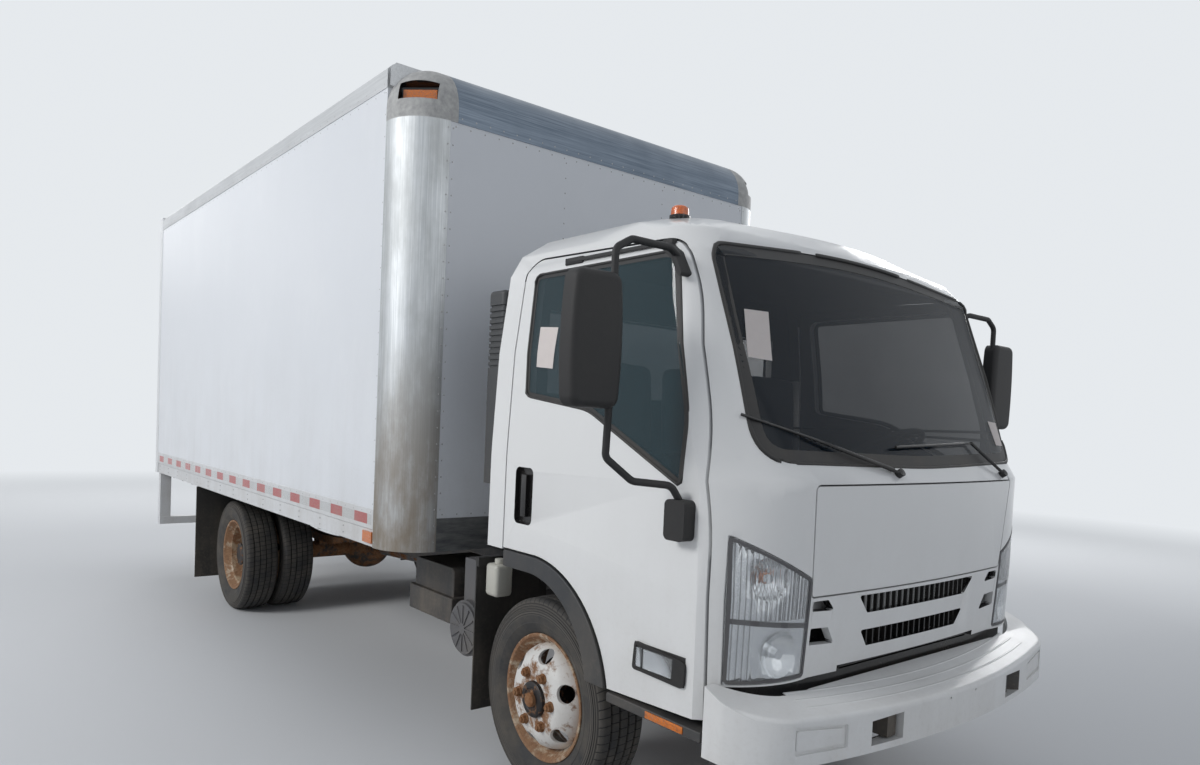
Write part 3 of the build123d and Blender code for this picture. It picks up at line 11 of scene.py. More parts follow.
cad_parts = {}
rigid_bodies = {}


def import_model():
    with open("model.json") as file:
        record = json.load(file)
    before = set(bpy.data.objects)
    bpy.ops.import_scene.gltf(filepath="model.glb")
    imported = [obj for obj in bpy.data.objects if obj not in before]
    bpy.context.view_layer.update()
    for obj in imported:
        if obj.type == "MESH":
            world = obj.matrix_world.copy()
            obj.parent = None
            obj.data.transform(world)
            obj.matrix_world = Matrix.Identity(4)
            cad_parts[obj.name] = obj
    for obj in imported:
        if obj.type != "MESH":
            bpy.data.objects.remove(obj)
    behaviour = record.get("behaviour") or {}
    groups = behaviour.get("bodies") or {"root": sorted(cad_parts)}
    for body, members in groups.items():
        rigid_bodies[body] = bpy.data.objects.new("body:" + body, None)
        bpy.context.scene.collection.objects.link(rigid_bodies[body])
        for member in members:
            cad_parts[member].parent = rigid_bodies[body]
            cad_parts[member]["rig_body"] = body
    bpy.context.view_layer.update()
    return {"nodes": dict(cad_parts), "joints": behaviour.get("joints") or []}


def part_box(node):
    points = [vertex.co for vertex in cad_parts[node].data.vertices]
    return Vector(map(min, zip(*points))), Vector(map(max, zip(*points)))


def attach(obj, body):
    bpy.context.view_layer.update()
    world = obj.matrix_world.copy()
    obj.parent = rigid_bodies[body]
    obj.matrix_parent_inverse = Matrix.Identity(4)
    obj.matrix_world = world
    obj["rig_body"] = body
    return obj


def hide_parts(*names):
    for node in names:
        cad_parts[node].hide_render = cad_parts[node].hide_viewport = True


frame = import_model()

bl_info = {
    "name": "Box truck looks",
    "version": (1, 0, 0),
    "blender": (4, 5, 0),
    "location": "View3D > Sidebar > Truck",
    "description": "Dresses the packed truck with its finishes and small parts",
    "category": "Object",
}

JOINTS = {joint["name"]: Vector(joint["pos_m"]) for joint in frame["joints"]}
AXLE_X = JOINTS["left_steering"].x
REAR_AXLE_X = JOINTS["rear_left_spin"].x
HUB_Z = JOINTS["front_left_spin"].z
FRONT_WHEEL_Y = JOINTS["front_left_spin"].y
REAR_OUTER_Y = 0.959
REAR_INNER_Y = 0.699
TYRE_RADIUS = HUB_Z
RIM_RADIUS = 0.258
SIDES = (("left", 1), ("right", -1))

POST_LOW, POST_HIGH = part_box("corner_posts")
WALL_REAR_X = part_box("cargo_walls")[0].x
RAIL_LOW, RAIL_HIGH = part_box("cargo_side_rails")
ROOF_LOW, ROOF_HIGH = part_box("cargo_roof")
DOOR_LOW, DOOR_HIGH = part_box("rollup_door")
REAR_FACE_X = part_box("rear_frame")[0].x
BOX_FRONT_X = POST_HIGH.x
BOX_SIDE_Y = RAIL_HIGH.y
CAP_Z = 2.882
SCUFF_Z = 1.041
DOOR_FACE_Y = 1.003
CORNER_RADIUS = 0.210
# The lamps' upper and lower halves meet at this height
LENS_SPLIT_Z = 0.93
FOOT = 0.3048
REACH = 3.0
ARC_STEPS = 10

# Outlines of the cab's openings: (width or place ahead, height), and the radii of their corners
WINDSCREEN = ((0, 1.412), (0.854, 1.430), (0.853, 2.154), (0, 2.220), (-0.853, 2.154), (-0.854, 1.430))
WINDSCREEN_RADII = (6.0, 0.130, 0.070, 6.0, 0.070, 0.130)
DOOR_WINDOW = ((-0.110, 1.621), (0.300, 1.572), (0.812, 1.333), (0.822, 1.560), (0.675, 2.122),
               (-0.143, 2.120))
DOOR_WINDOW_RADII = (0.040, 0.300, 0.024, 0.300, 0.070, 0.045)
REAR_WINDOW = ((-0.760, 1.640), (0.760, 1.640), (0.760, 2.010), (-0.760, 2.010))
HANDLE_RECESS = ((-0.142, -0.014), (1.103, 1.337))
DOOR_LAMP = ((0.630, 0.868), (0.700, 0.797))


def at(x, y, z):
    """A place given ahead of the front axle, to the left and above the ground."""
    return Vector((AXLE_X + x, y, z))


# Settings that a user would change
class TruckSizes(bpy.types.PropertyGroup):
    rivet_radius: bpy.props.FloatProperty(
        name="Rivet radius", description="Radius of a rivet's round head",
        default=0.0045, unit="LENGTH")
    rivet_pitch: bpy.props.FloatProperty(
        name="Rivet pitch", description="Distance between rivets along a seam",
        default=0.076, unit="LENGTH")
    edge_round: bpy.props.FloatProperty(
        name="Edge rounding", description="Width of the rounding along a pressed panel's edges",
        default=0.004, unit="LENGTH")
    tread_depth: bpy.props.FloatProperty(
        name="Tread depth", description="Depth of the grooves round a tyre",
        default=0.011, unit="LENGTH")


class TruckColours(bpy.types.PropertyGroup):
    cab: bpy.props.FloatVectorProperty(
        name="Cab paint", description="White paint of the cab, lid and bumper",
        subtype="COLOR", size=3, default=(0.80, 0.80, 0.79), min=0, max=1)
    panel: bpy.props.FloatVectorProperty(
        name="Freight panels", description="White finish of the freight body's walls",
        subtype="COLOR", size=3, default=(0.74, 0.76, 0.79), min=0, max=1)
    rust: bpy.props.FloatVectorProperty(
        name="Rust", description="Rust on wheels, nuts and axles",
        subtype="COLOR", size=3, default=(0.21, 0.085, 0.03), min=0, max=1)
    dust: bpy.props.FloatVectorProperty(
        name="Dust", description="Dry dust low on the truck",
        subtype="COLOR", size=3, default=(0.30, 0.25, 0.19), min=0, max=1)


def sizes():
    return bpy.context.scene.truck_sizes


def colours():
    return bpy.context.scene.truck_colours


# Shader building
def feed(tree, socket, value):
    """Links a socket to another, or sets its own value; a colour gets its fourth number."""
    if isinstance(value, bpy.types.NodeSocket):
        tree.links.new(value, socket)
    else:
        socket.default_value = (*value[:3], 1.0) if socket.type == "RGBA" else value


def node(tree, kind, inputs=None, **settings):
    """Adds one node to a tree, with its settings and its inputs set or linked."""
    made = tree.nodes.new(kind)
    for name, value in settings.items():
        setattr(made, name, value)
    for key, value in (inputs or {}).items():
        feed(tree, made.inputs[key], value)
    return made


def math_node(tree, operation, first, second=0.0):
    return node(tree, "ShaderNodeMath", {0: first, 1: second}, operation=operation).outputs[0]


def times(tree, first, second):
    return math_node(tree, "MULTIPLY", first, second)


def plus(tree, first, second):
    return math_node(tree, "ADD", first, second)


def minus(tree, first, second):
    return math_node(tree, "SUBTRACT", first, second)


def most(tree, first, second):
    return math_node(tree, "MAXIMUM", first, second)


def length(tree, across, up):
    """The distance of a point from an axis, from its two numbers."""
    return math_node(tree, "SQRT", plus(tree, times(tree, across, across), times(tree, up, up)))


def waves(tree, value, per_metre):
    """Rises and falls between nought and a half."""
    return math_node(tree, "PINGPONG", times(tree, value, per_metre), 0.5)


def band(tree, value, low, high, start=0.0, end=1.0):
    """Maps a value from one range to another, held at its ends."""
    return node(tree, "ShaderNodeMapRange", {"Value": value, "From Min": low, "From Max": high,
                                             "To Min": start, "To Max": end}).outputs["Result"]


def mixed(tree, share, first, second):
    """One colour over another by a share."""
    return node(tree, "ShaderNodeMix", {"Factor": share, 6: first, 7: second}, data_type="RGBA").outputs[2]


def bumped(tree, height, strength, distance):
    return node(tree, "ShaderNodeBump",
                {"Strength": strength, "Distance": distance, "Height": height}).outputs["Normal"]


def here(tree):
    """The point's place on the truck."""
    return node(tree, "ShaderNodeTexCoord").outputs["Object"]


def axes(tree, vector, letters):
    """The numbers of a vector that are asked for, such as "XZ"."""
    split = node(tree, "ShaderNodeSeparateXYZ", {0: vector})
    return [split.outputs[letter] for letter in letters]


def noise(tree, vector, scale, detail=3.0, roughness=0.55, stretch=None):
    """Noise in metres, drawn out along the axes whose stretch is small."""
    if stretch:
        vector = node(tree, "ShaderNodeMapping", {"Vector": vector, "Scale": stretch}).outputs[0]
    return node(tree, "ShaderNodeTexNoise", {"Vector": vector, "Scale": scale, "Detail": detail,
                                             "Roughness": roughness}).outputs["Fac"]


def new_group(name, inputs, outputs):
    """A shader group: its tree, what it is given and what it puts out.

    Each input is a name and a default, from which its kind follows."""
    tree = bpy.data.node_groups.new(name, "ShaderNodeTree")
    kinds = {1: "NodeSocketFloat", 3: "NodeSocketVector", 4: "NodeSocketColor"}
    for label, default in inputs.items():
        size = len(default) if isinstance(default, tuple) else 1
        tree.interface.new_socket(label, in_out="INPUT", socket_type=kinds[size]).default_value = default
    for label, size in outputs.items():
        tree.interface.new_socket(label, in_out="OUTPUT", socket_type=kinds[size])
    return tree, tree.nodes.new("NodeGroupInput").outputs, tree.nodes.new("NodeGroupOutput").inputs


def grime_group():
    """Dust and run marks: heavier low down and in patches."""
    tree, given, out = new_group(
        "grime",
        {"Clean": (0.8, 0.8, 0.8, 1.0), "Grime": (0.3, 0.25, 0.2, 1.0), "Amount": 0.3, "Low": 0.4,
         "High": 1.4, "Rough Clean": 0.3, "Rough Grime": 0.8},
        {"Color": 4, "Roughness": 1})
    spot = here(tree)
    height = band(tree, axes(tree, spot, "Z")[0], given["High"], given["Low"], 0.12, 1.0)
    patches = band(tree, noise(tree, spot, 2.4, 6.0, 0.62), 0.38, 0.68)
    runs = band(tree, noise(tree, spot, 9.0, 4.0, 0.6, (1.0, 1.0, 0.12)), 0.45, 0.72)
    specks = band(tree, noise(tree, spot, 60.0, 2.0, 0.6), 0.5, 0.75)
    marks = plus(tree, times(tree, runs, 0.35), times(tree, specks, 0.25))
    soiled = plus(tree, times(tree, patches, 0.55), marks)
    mask = times(tree, times(tree, soiled, height), given["Amount"])
    held = node(tree, "ShaderNodeClamp", {0: mask}).outputs[0]
    feed(tree, out["Color"], mixed(tree, held, given["Clean"], given["Grime"]))
    feed(tree, out["Roughness"], band(tree, held, 0.0, 1.0, given["Rough Clean"], given["Rough Grime"]))
    return tree


def grain_group():
    """Fine surface relief, as a normal."""
    tree, given, out = new_group(
        "surface_grain", {"Scale": 300.0, "Depth": 0.0005, "Stretch": (1.0, 1.0, 1.0), "Strength": 0.5},
        {"Normal": 3})
    drawn = node(tree, "ShaderNodeMapping", {"Vector": here(tree), "Scale": given["Stretch"]}).outputs[0]
    relief = node(tree, "ShaderNodeTexNoise",
                  {"Vector": drawn, "Scale": given["Scale"], "Detail": 3.0}).outputs["Fac"]
    feed(tree, out["Normal"], bumped(tree, relief, given["Strength"], given["Depth"]))
    return tree


def rust_group():
    """Patches and spots of rust over another colour."""
    tree, given, out = new_group(
        "rust",
        {"Sound": (0.8, 0.8, 0.8, 1.0), "Rust": (0.2, 0.08, 0.03, 1.0), "Spread": 0.5, "Scale": 12.0,
         "Rough Sound": 0.4},
        {"Color": 4, "Roughness": 1})
    spot = here(tree)
    coarse = noise(tree, spot, given["Scale"], 8.0, 0.68)
    edge = times(tree, minus(tree, 0.95, given["Spread"]), 0.75)
    mask = band(tree, coarse, edge, plus(tree, edge, 0.12))
    tint = mixed(tree, band(tree, noise(tree, spot, 55.0, 4.0, 0.7), 0.35, 0.7), given["Rust"],
                 (0.34, 0.19, 0.10))
    feed(tree, out["Color"], mixed(tree, mask, given["Sound"], tint))
    feed(tree, out["Roughness"], band(tree, mask, 0.0, 1.0, given["Rough Sound"], 0.92))
    return tree


GROUPS = {}


def group(tree, maker, inputs):
    """Places one of the shared groups in a material, and gives its outputs."""
    if maker not in GROUPS:
        GROUPS[maker] = maker()
    return node(tree, "ShaderNodeGroup", inputs, node_tree=GROUPS[maker]).outputs


def grime(tree, clean, amount, low, high, rough=0.3, rough_grime=0.8, tint=None):
    """Dust over a colour, from a high level down to a low one: colour and roughness."""
    made = group(tree, grime_group, {"Clean": clean, "Grime": tint or colours().dust, "Amount": amount,
                                     "Low": low, "High": high, "Rough Clean": rough,
                                     "Rough Grime": rough_grime})
    return made["Color"], made["Roughness"]


def grain(tree, scale, depth, strength, stretch=(1.0, 1.0, 1.0)):
    """The normal of a fine relief."""
    return group(tree, grain_group, {"Scale": scale, "Depth": depth, "Strength": strength,
                                     "Stretch": stretch})["Normal"]


def rust(tree, sound, tint, spread, scale, rough):
    """Rust over a colour: colour and roughness."""
    made = group(tree, rust_group, {"Sound": sound, "Rust": tint, "Spread": spread, "Scale": scale,
                                    "Rough Sound": rough})
    return made["Color"], made["Roughness"]


def surface(name, **constants):
    """A new material and its tree; constants go on the shader's own sockets."""
    made = bpy.data.materials.new(name)
    made.use_nodes = True
    shader = made.node_tree.nodes["Principled BSDF"]
    for key, value in constants.items():
        feed(made.node_tree, shader.inputs[key.replace("_", " ").title().replace("Ior", "IOR")], value)
    return made, made.node_tree


def wired(made, **sockets):
    """The material with its shader's inputs fed from other nodes' outputs."""
    shader = made.node_tree.nodes["Principled BSDF"]
    for key, socket in sockets.items():
        feed(made.node_tree, shader.inputs[key.replace("_", " ").title()], socket)
    return made


def tinted(colour, share=1.0):
    """A colour's three numbers, darkened by a share. A name stands for a user's setting."""
    return tuple(number * share for number in (getattr(colours(), colour) if isinstance(colour, str)
                                               else colour))


# Finishes. Each takes its material's name first, and the rest from FINISHES
def paint(name, colour, amount, low, high, rough=0.28, coat=0.4):
    """Glossy paint with a little orange peel and road grime."""
    made, tree = surface(name, coat_weight=coat, coat_roughness=0.12)
    shade, roughness = grime(tree, tinted(colour), amount, low, high, rough, 0.75)
    return wired(made, base_color=shade, roughness=roughness, normal=grain(tree, 220.0, 0.00015, 0.35))


def panel_paint(name):
    """Prefinished wall panels: cool white, faint scuffs, a dark dirty band low on the front wall."""
    made, tree = surface(name, coat_weight=0.15, coat_roughness=0.25)
    spot = here(tree)
    x, z = axes(tree, spot, "XZ")
    scuffs = band(tree, noise(tree, spot, 3.0, 7.0, 0.7, (1.0, 1.0, 0.5)), 0.52, 0.66)
    marked = mixed(tree, times(tree, scuffs, 0.10), tinted("panel"), (0.9, 0.9, 0.9))
    wash = band(tree, noise(tree, spot, 1.1, 3.0, 0.5), 0.35, 0.7)
    toned = mixed(tree, times(tree, wash, 0.10), marked, (0.55, 0.58, 0.62))
    shade, roughness = grime(tree, toned, 0.22, 0.9, 2.0, 0.34, 0.7, (0.33, 0.30, 0.25))
    front = times(tree, band(tree, x, BOX_FRONT_X - 0.006, BOX_FRONT_X - 0.004),
                  math_node(tree, "LESS_THAN", z, SCUFF_Z + 0.001))
    brushed = band(tree, noise(tree, spot, 26.0, 6.0, 0.7, (1.0, 0.25, 1.4)), 0.3, 0.75)
    worn = mixed(tree, brushed, (0.065, 0.07, 0.075), (0.21, 0.21, 0.20))
    return wired(made, base_color=mixed(tree, front, shade, worn), roughness=roughness,
                 normal=grain(tree, 2.2, 0.006, 0.12))


def post_metal(name):
    """Corner posts in brushed aluminium with brown staining low down, and cast grey caps above."""
    made, tree = surface(name)
    spot = here(tree)
    z, = axes(tree, spot, "Z")
    lines = noise(tree, spot, 190.0, 3.0, 0.6, (1.0, 1.0, 0.012))
    cloud = noise(tree, spot, 7.0, 6.0, 0.65, (1.0, 1.0, 0.35))
    metal = mixed(tree, band(tree, lines, 0.3, 0.7), (0.42, 0.44, 0.46), (0.60, 0.62, 0.63))
    metal = mixed(tree, band(tree, cloud, 0.4, 0.62, 0.0, 0.6), metal, (0.36, 0.37, 0.37))
    low = times(tree, band(tree, z, 1.9, 0.95), band(tree, cloud, 0.33, 0.6, 0.15, 0.75))
    stained = mixed(tree, low, metal, (0.20, 0.145, 0.085))
    cap = band(tree, z, CAP_Z - 0.0005, CAP_Z + 0.0005)
    cast = mixed(tree, band(tree, noise(tree, spot, 40.0, 5.0, 0.6), 0.3, 0.75), (0.34, 0.34, 0.34),
                 (0.50, 0.50, 0.49))
    sheen = plus(tree, band(tree, cloud, 0.3, 0.7, 0.46, 0.60), times(tree, cap, 0.25))
    metallic = minus(tree, band(tree, low, 0.0, 1.0, 0.95, 0.35), times(tree, cap, 0.35))
    return wired(made, base_color=mixed(tree, cap, stained, cast), roughness=sheen, metallic=metallic,
                 normal=grain(tree, 260.0, 0.0002, 0.3, (1.0, 1.0, 0.02)))


def sheet_metal(name, dark, light, rough, stretch, metallic=0.9):
    """Rolled metal sheet with a fine grain along its length."""
    made, tree = surface(name, metallic=metallic)
    spot = here(tree)
    cloud = noise(tree, spot, 3.0, 5.0, 0.6)
    shade = mixed(tree, band(tree, noise(tree, spot, 150.0, 3.0, 0.6, stretch), 0.3, 0.7), dark, light)
    shade = mixed(tree, band(tree, cloud, 0.35, 0.75, 0.0, 0.5), shade, dark)
    return wired(made, base_color=shade, roughness=band(tree, cloud, 0.3, 0.7, rough, rough + 0.18))


def coated(name, colour, rough, dust, low, high, scale=180.0, depth=0.0006):
    """Matt black plastic or frame paint with dust lying on it."""
    made, tree = surface(name)
    shade, roughness = grime(tree, colour, dust, low, high, rough, 0.95)
    return wired(made, base_color=shade, roughness=roughness, normal=grain(tree, scale, depth, 0.6))


def rusted(name, sound, spread, scale, rough, metallic=0.0):
    """Paint or bare metal broken by rust."""
    made, tree = surface(name, metallic=metallic)
    shade, roughness = rust(tree, sound, tinted("rust"), spread, scale, rough)
    return wired(made, base_color=shade, roughness=roughness, normal=grain(tree, 120.0, 0.0008, 0.5))


def wheel_paint(name, sound, spread, centre_x):
    """Wheel paint that rusts from its rim and round its nuts."""
    made, tree = surface(name)
    x, z = axes(tree, here(tree), "XZ")
    radius = length(tree, minus(tree, x, centre_x), minus(tree, z, HUB_Z))
    rim = band(tree, radius, 0.205, 0.225)
    nave = times(tree, band(tree, radius, 0.150, 0.105), band(tree, radius, 0.05, 0.09))
    local = most(tree, times(tree, rim, 0.22), times(tree, nave, 0.20))
    aged = mixed(tree, rim, sound, (0.50, 0.41, 0.30))
    worn, roughness = rust(tree, aged, (0.20, 0.095, 0.05), plus(tree, local, spread), 17.0, 0.42)
    shade = grime(tree, worn, 0.5, 0.1, 0.9, tint=(0.34, 0.24, 0.15))[0]
    return wired(made, base_color=shade, roughness=roughness, normal=grain(tree, 90.0, 0.0006, 0.5))


def tyre_rubber(name):
    """Dusty rubber, with painted shade in its sipes and ring valleys. One UV map runs round the tyre and
    across it, the other holds the radius.
    """
    made, tree = surface(name)
    spot = here(tree)
    turn, across = axes(tree, node(tree, "ShaderNodeUVMap", uv_map="round").outputs[0], "XY")
    slant = plus(tree, times(tree, turn, 76.0), times(tree, across, 3.0))
    cut = band(tree, math_node(tree, "PINGPONG", slant, 0.5), 0.03, 0.09)
    tread = times(tree, band(tree, across, 0.29, 0.31), band(tree, across, 0.71, 0.69))
    sipes = times(tree, minus(tree, 1.0, cut), tread)
    radius, = axes(tree, node(tree, "ShaderNodeUVMap", uv_map="wall").outputs[0], "X")
    ringed = times(tree, band(tree, radius, 0.330, 0.334), band(tree, radius, 0.389, 0.386))
    rings = times(tree, band(tree, waves(tree, radius, 95.0), 0.20, 0.05), ringed)
    cuts = most(tree, sipes, rings)
    cloud = noise(tree, spot, 9.0, 6.0, 0.65)
    dusty = mixed(tree, band(tree, cloud, 0.35, 0.75), (0.030, 0.030, 0.031), (0.105, 0.093, 0.078))
    raised = mixed(tree, times(tree, ringed, 0.5), dusty, (0.120, 0.108, 0.095))
    height = minus(tree, times(tree, noise(tree, spot, 260.0), 0.12), cuts)
    # The cuts are painted near black: painted shade in the sipes and in the valleys between the sidewall
    # rings
    return wired(made, base_color=mixed(tree, cuts, raised, (0.012, 0.012, 0.012)),
                 roughness=band(tree, cloud, 0.3, 0.7, 0.72, 0.93), normal=bumped(tree, height, 0.6, 0.003))


def glass(name, colour, alpha, shine=0.5):
    """Tinted glass, seen through by its alpha."""
    made, tree = surface(name, base_color=colour, ior=1.45, specular_ior_level=shine)
    film = noise(tree, here(tree), 4.0, 5.0, 0.6)
    return wired(made, roughness=band(tree, film, 0.35, 0.7, 0.02, 0.07),
                 alpha=band(tree, film, 0.3, 0.8, alpha, alpha + 0.06))


def lens_glass(name, colour):
    """Clear lamp lens that light passes, ribbed upright in its upper half."""
    made, tree = surface(name, base_color=colour, transmission_weight=0.92, ior=1.45)
    spot = here(tree)
    y, z = axes(tree, spot, "YZ")
    ribs = times(tree, waves(tree, y, 85.0), math_node(tree, "GREATER_THAN", z, LENS_SPLIT_Z))
    haze = noise(tree, spot, 14.0, 5.0, 0.6)
    return wired(made, roughness=band(tree, haze, 0.35, 0.75, 0.05, 0.19),
                 normal=bumped(tree, ribs, 0.8, 0.003))


def reflective_tape(name):
    """Red and silver tape: six inches of each in turn, cut into small prisms."""
    made, tree = surface(name, coat_weight=0.3, coat_roughness=0.1)
    spot = here(tree)
    along = plus(tree, *axes(tree, spot, "XY"))
    turn = math_node(tree, "FRACT", math_node(tree, "DIVIDE", minus(tree, along, AXLE_X - 0.010), FOOT))
    cells = node(tree, "ShaderNodeTexVoronoi", {"Vector": spot, "Scale": 260.0}, feature="DISTANCE_TO_EDGE")
    base = mixed(tree, math_node(tree, "LESS_THAN", turn, 0.5), (0.60, 0.62, 0.63), (0.45, 0.02, 0.025))
    shade = mixed(tree, band(tree, cells.outputs["Distance"], 0.0, 0.08), (0.30, 0.28, 0.27), base)
    shade = grime(tree, shade, 0.45, 0.9, 1.3, tint=(0.33, 0.28, 0.22))[0]
    return wired(made, base_color=shade, roughness=band(tree, noise(tree, along, 3.0), 0.3, 0.7, 0.25, 0.45))


def cloth(name, colour):
    """Woven seat cloth with a crossed weave."""
    made, tree = surface(name, sheen_weight=0.4, sheen_roughness=0.5)
    spot = here(tree)
    warp, weft = (node(tree, "ShaderNodeTexWave", {"Vector": spot, "Scale": 190.0, "Distortion": 1.2},
                       bands_direction=way).outputs["Fac"] for way in "YX")
    weave = most(tree, warp, weft)
    cloud = noise(tree, spot, 6.0, 4.0)
    shade = mixed(tree, weave, tinted(colour, 0.6), colour)
    shade = mixed(tree, band(tree, cloud, 0.4, 0.8, 0.0, 0.3), shade, (0.10, 0.09, 0.08))
    return wired(made, base_color=shade, roughness=band(tree, cloud, 0.3, 0.7, 0.8, 0.95),
                 normal=bumped(tree, weave, 0.4, 0.001))


def paper(name):
    """Blank paper stuck inside the glass."""
    made, tree = surface(name)
    spot = here(tree)
    return wired(made, base_color=mixed(tree, noise(tree, spot, 30.0, 4.0), (0.66, 0.60, 0.57),
                                        (0.74, 0.68, 0.65)),
                 roughness=band(tree, noise(tree, spot, 80.0), 0.3, 0.7, 0.7, 0.9))


def chrome(name):
    """Bright reflector metal, slightly uneven, fluted in the upper lamps and at the cab's sides, with dark
    stripes along the flutes as painted reflection and shade.
    """
    made, tree = surface(name, metallic=1.0)
    spot = here(tree)
    y, z = axes(tree, spot, "YZ")
    cloud = noise(tree, spot, 25.0)
    flutes = waves(tree, y, 62.0)
    outer = math_node(tree, "GREATER_THAN", math_node(tree, "ABSOLUTE", y), 0.86)
    fluted = most(tree, math_node(tree, "GREATER_THAN", z, LENS_SPLIT_Z), outer)
    bright = mixed(tree, cloud, (0.66, 0.68, 0.69), (0.84, 0.85, 0.86))
    # Dark stripes along the flutes: painted reflection and shade, besides their bump
    shade = mixed(tree, times(tree, band(tree, flutes, 0.16, 0.0), fluted), bright, (0.16, 0.16, 0.16))
    return wired(made, base_color=shade, roughness=band(tree, cloud, 0.3, 0.7, 0.06, 0.16),
                 normal=bumped(tree, times(tree, flutes, fluted), 1.0, 0.006))


def silvered(name, colour):
    """Mirror glass."""
    made, tree = surface(name, metallic=1.0)
    film = noise(tree, here(tree), 8.0, 4.0)
    return wired(made, base_color=mixed(tree, film, colour, tinted(colour, 0.9)),
                 roughness=band(tree, film, 0.3, 0.7, 0.03, 0.08))


def coloured_lens(name, colour, rear_colour=None):
    """Coloured lamp plastic with small prisms moulded inside; the rear colour is for the tail's lamps."""
    made, tree = surface(name, coat_weight=0.7, coat_roughness=0.05)
    spot = here(tree)
    facet = node(tree, "ShaderNodeTexVoronoi", {"Vector": spot, "Scale": 170.0},
                 distance="CHEBYCHEV").outputs["Distance"]
    depth = band(tree, facet, 0.1, 0.7)
    shade = mixed(tree, depth, colour, tinted(colour, 0.45))
    if rear_colour:
        tail = math_node(tree, "LESS_THAN", axes(tree, spot, "X")[0], REAR_AXLE_X)
        shade = mixed(tree, tail, shade, mixed(tree, depth, rear_colour, tinted(rear_colour, 0.45)))
    return wired(made, base_color=shade, roughness=band(tree, facet, 0.0, 1.0, 0.18, 0.4),
                 normal=bumped(tree, facet, 0.4, 0.002))


# Each finish: its maker, and the maker's own values after the name
FINISHES = {
    "cab_paint": (paint, "cab", 0.22, 0.45, 1.3),
    "bumper_paint": (paint, "cab", 0.35, 0.4, 0.9, 0.36, 0.2),
    "rail_paint": (paint, (0.66, 0.67, 0.68), 0.45, 0.85, 1.4, 0.42, 0.1),
    "rear_paint": (paint, (0.70, 0.71, 0.72), 0.4, 0.6, 2.0, 0.4, 0.1),
    "panel_paint": (panel_paint,),
    "post_metal": (post_metal,),
    # The header's dark blue-grey is painted shade and painted sky reflection on its aluminium
    "header_metal": (sheet_metal, (0.11, 0.14, 0.18), (0.22, 0.26, 0.31), 0.26, (1.0, 0.02, 1.0)),
    "roof_metal": (sheet_metal, (0.50, 0.51, 0.52), (0.64, 0.65, 0.66), 0.4, (0.02, 1.0, 1.0)),
    "top_rail_metal": (sheet_metal, (0.52, 0.53, 0.54), (0.68, 0.69, 0.70), 0.42, (0.02, 1.0, 1.0), 0.6),
    "rivet_metal": (sheet_metal, (0.30, 0.30, 0.30), (0.48, 0.48, 0.48), 0.4, (1.0, 1.0, 1.0)),
    "frame_black": (coated, (0.022, 0.022, 0.024), 0.5, 0.75, 0.2, 1.3),
    "floor_black": (coated, (0.03, 0.03, 0.03), 0.7, 0.7, 0.7, 1.2),
    "mirror_plastic": (coated, (0.007, 0.007, 0.008), 0.60, 0.06, 0.6, 2.4, 420.0, 0.0012),
    "flare_plastic": (coated, (0.035, 0.037, 0.040), 0.5, 0.35, 0.4, 1.3, 300.0),
    "stack_plastic": (coated, (0.045, 0.047, 0.050), 0.5, 0.2, 0.4, 2.6, 200.0),
    "smooth_black": (coated, (0.010, 0.010, 0.011), 0.22, 0.12, 0.4, 2.4, 30.0, 0.0001),
    "seal_rubber": (coated, (0.014, 0.014, 0.015), 0.55, 0.2, 0.4, 2.4),
    "flap_rubber": (coated, (0.016, 0.016, 0.016), 0.6, 0.55, 0.1, 0.9, 60.0),
    "dash_plastic": (coated, (0.030, 0.032, 0.036), 0.60, 0.15, 0.9, 2.0, 350.0),
    "reservoir_plastic": (coated, (0.55, 0.54, 0.48), 0.4, 0.5, 0.5, 1.1),
    "fluted_grey": (coated, (0.095, 0.095, 0.10), 0.55, 0.45, 0.3, 0.9),
    "axle_metal": (rusted, (0.06, 0.055, 0.05), 0.42, 11.0, 0.6),
    "engine_metal": (rusted, (0.16, 0.16, 0.165), 0.34, 8.0, 0.5, 0.5),
    "exhaust_metal": (rusted, (0.25, 0.23, 0.21), 0.48, 9.0, 0.45, 0.6),
    "nut_rust": (rusted, (0.17, 0.08, 0.04), 0.62, 60.0, 0.7, 0.2),
    "hub_black": (rusted, (0.014, 0.012, 0.012), 0.22, 30.0, 0.45, 0.2),
    "tyre_rubber": (tyre_rubber,),
    "front_wheel_paint": (wheel_paint, (0.76, 0.75, 0.72), 0.22, AXLE_X),
    "rear_wheel_paint": (wheel_paint, (0.50, 0.38, 0.25), 0.30, REAR_AXLE_X),
    "window_glass": (glass, (0.020, 0.050, 0.062), 0.55),
    "windscreen_glass": (glass, (0.003, 0.010, 0.020), 0.50, 0.32),
    "rear_glass": (glass, (0.010, 0.025, 0.030), 0.15, 0.32),
    "mirror_glass": (silvered, (0.62, 0.65, 0.68)),
    "lamp_reflector": (chrome,),
    "lamp_lens": (lens_glass, (0.93, 0.94, 0.95)),
    "amber_lens": (coloured_lens, (0.85, 0.22, 0.01)),
    "box_lamp_lens": (coloured_lens, (0.80, 0.20, 0.012), (0.50, 0.012, 0.01)),
    "orange_dome": (coloured_lens, (0.90, 0.17, 0.01)),
    "reflective_tape": (reflective_tape,),
    "seat_cloth": (cloth, (0.13, 0.135, 0.145)),
    "blank_paper": (paper,),
}
MATERIALS = {}


def material(name):
    """The named finish, made when it is first asked for."""
    if name not in MATERIALS:
        maker, *values = FINISHES[name]
        MATERIALS[name] = maker(name, *values)
    return MATERIALS[name]


# Mesh building
def smooth(mesh, angle=35.0):
    """Rounds the shading over soft edges and keeps the sharp ones."""
    for face in mesh.polygons:
        face.use_smooth = True
    mesh.set_sharp_from_angle(angle=math.radians(angle))


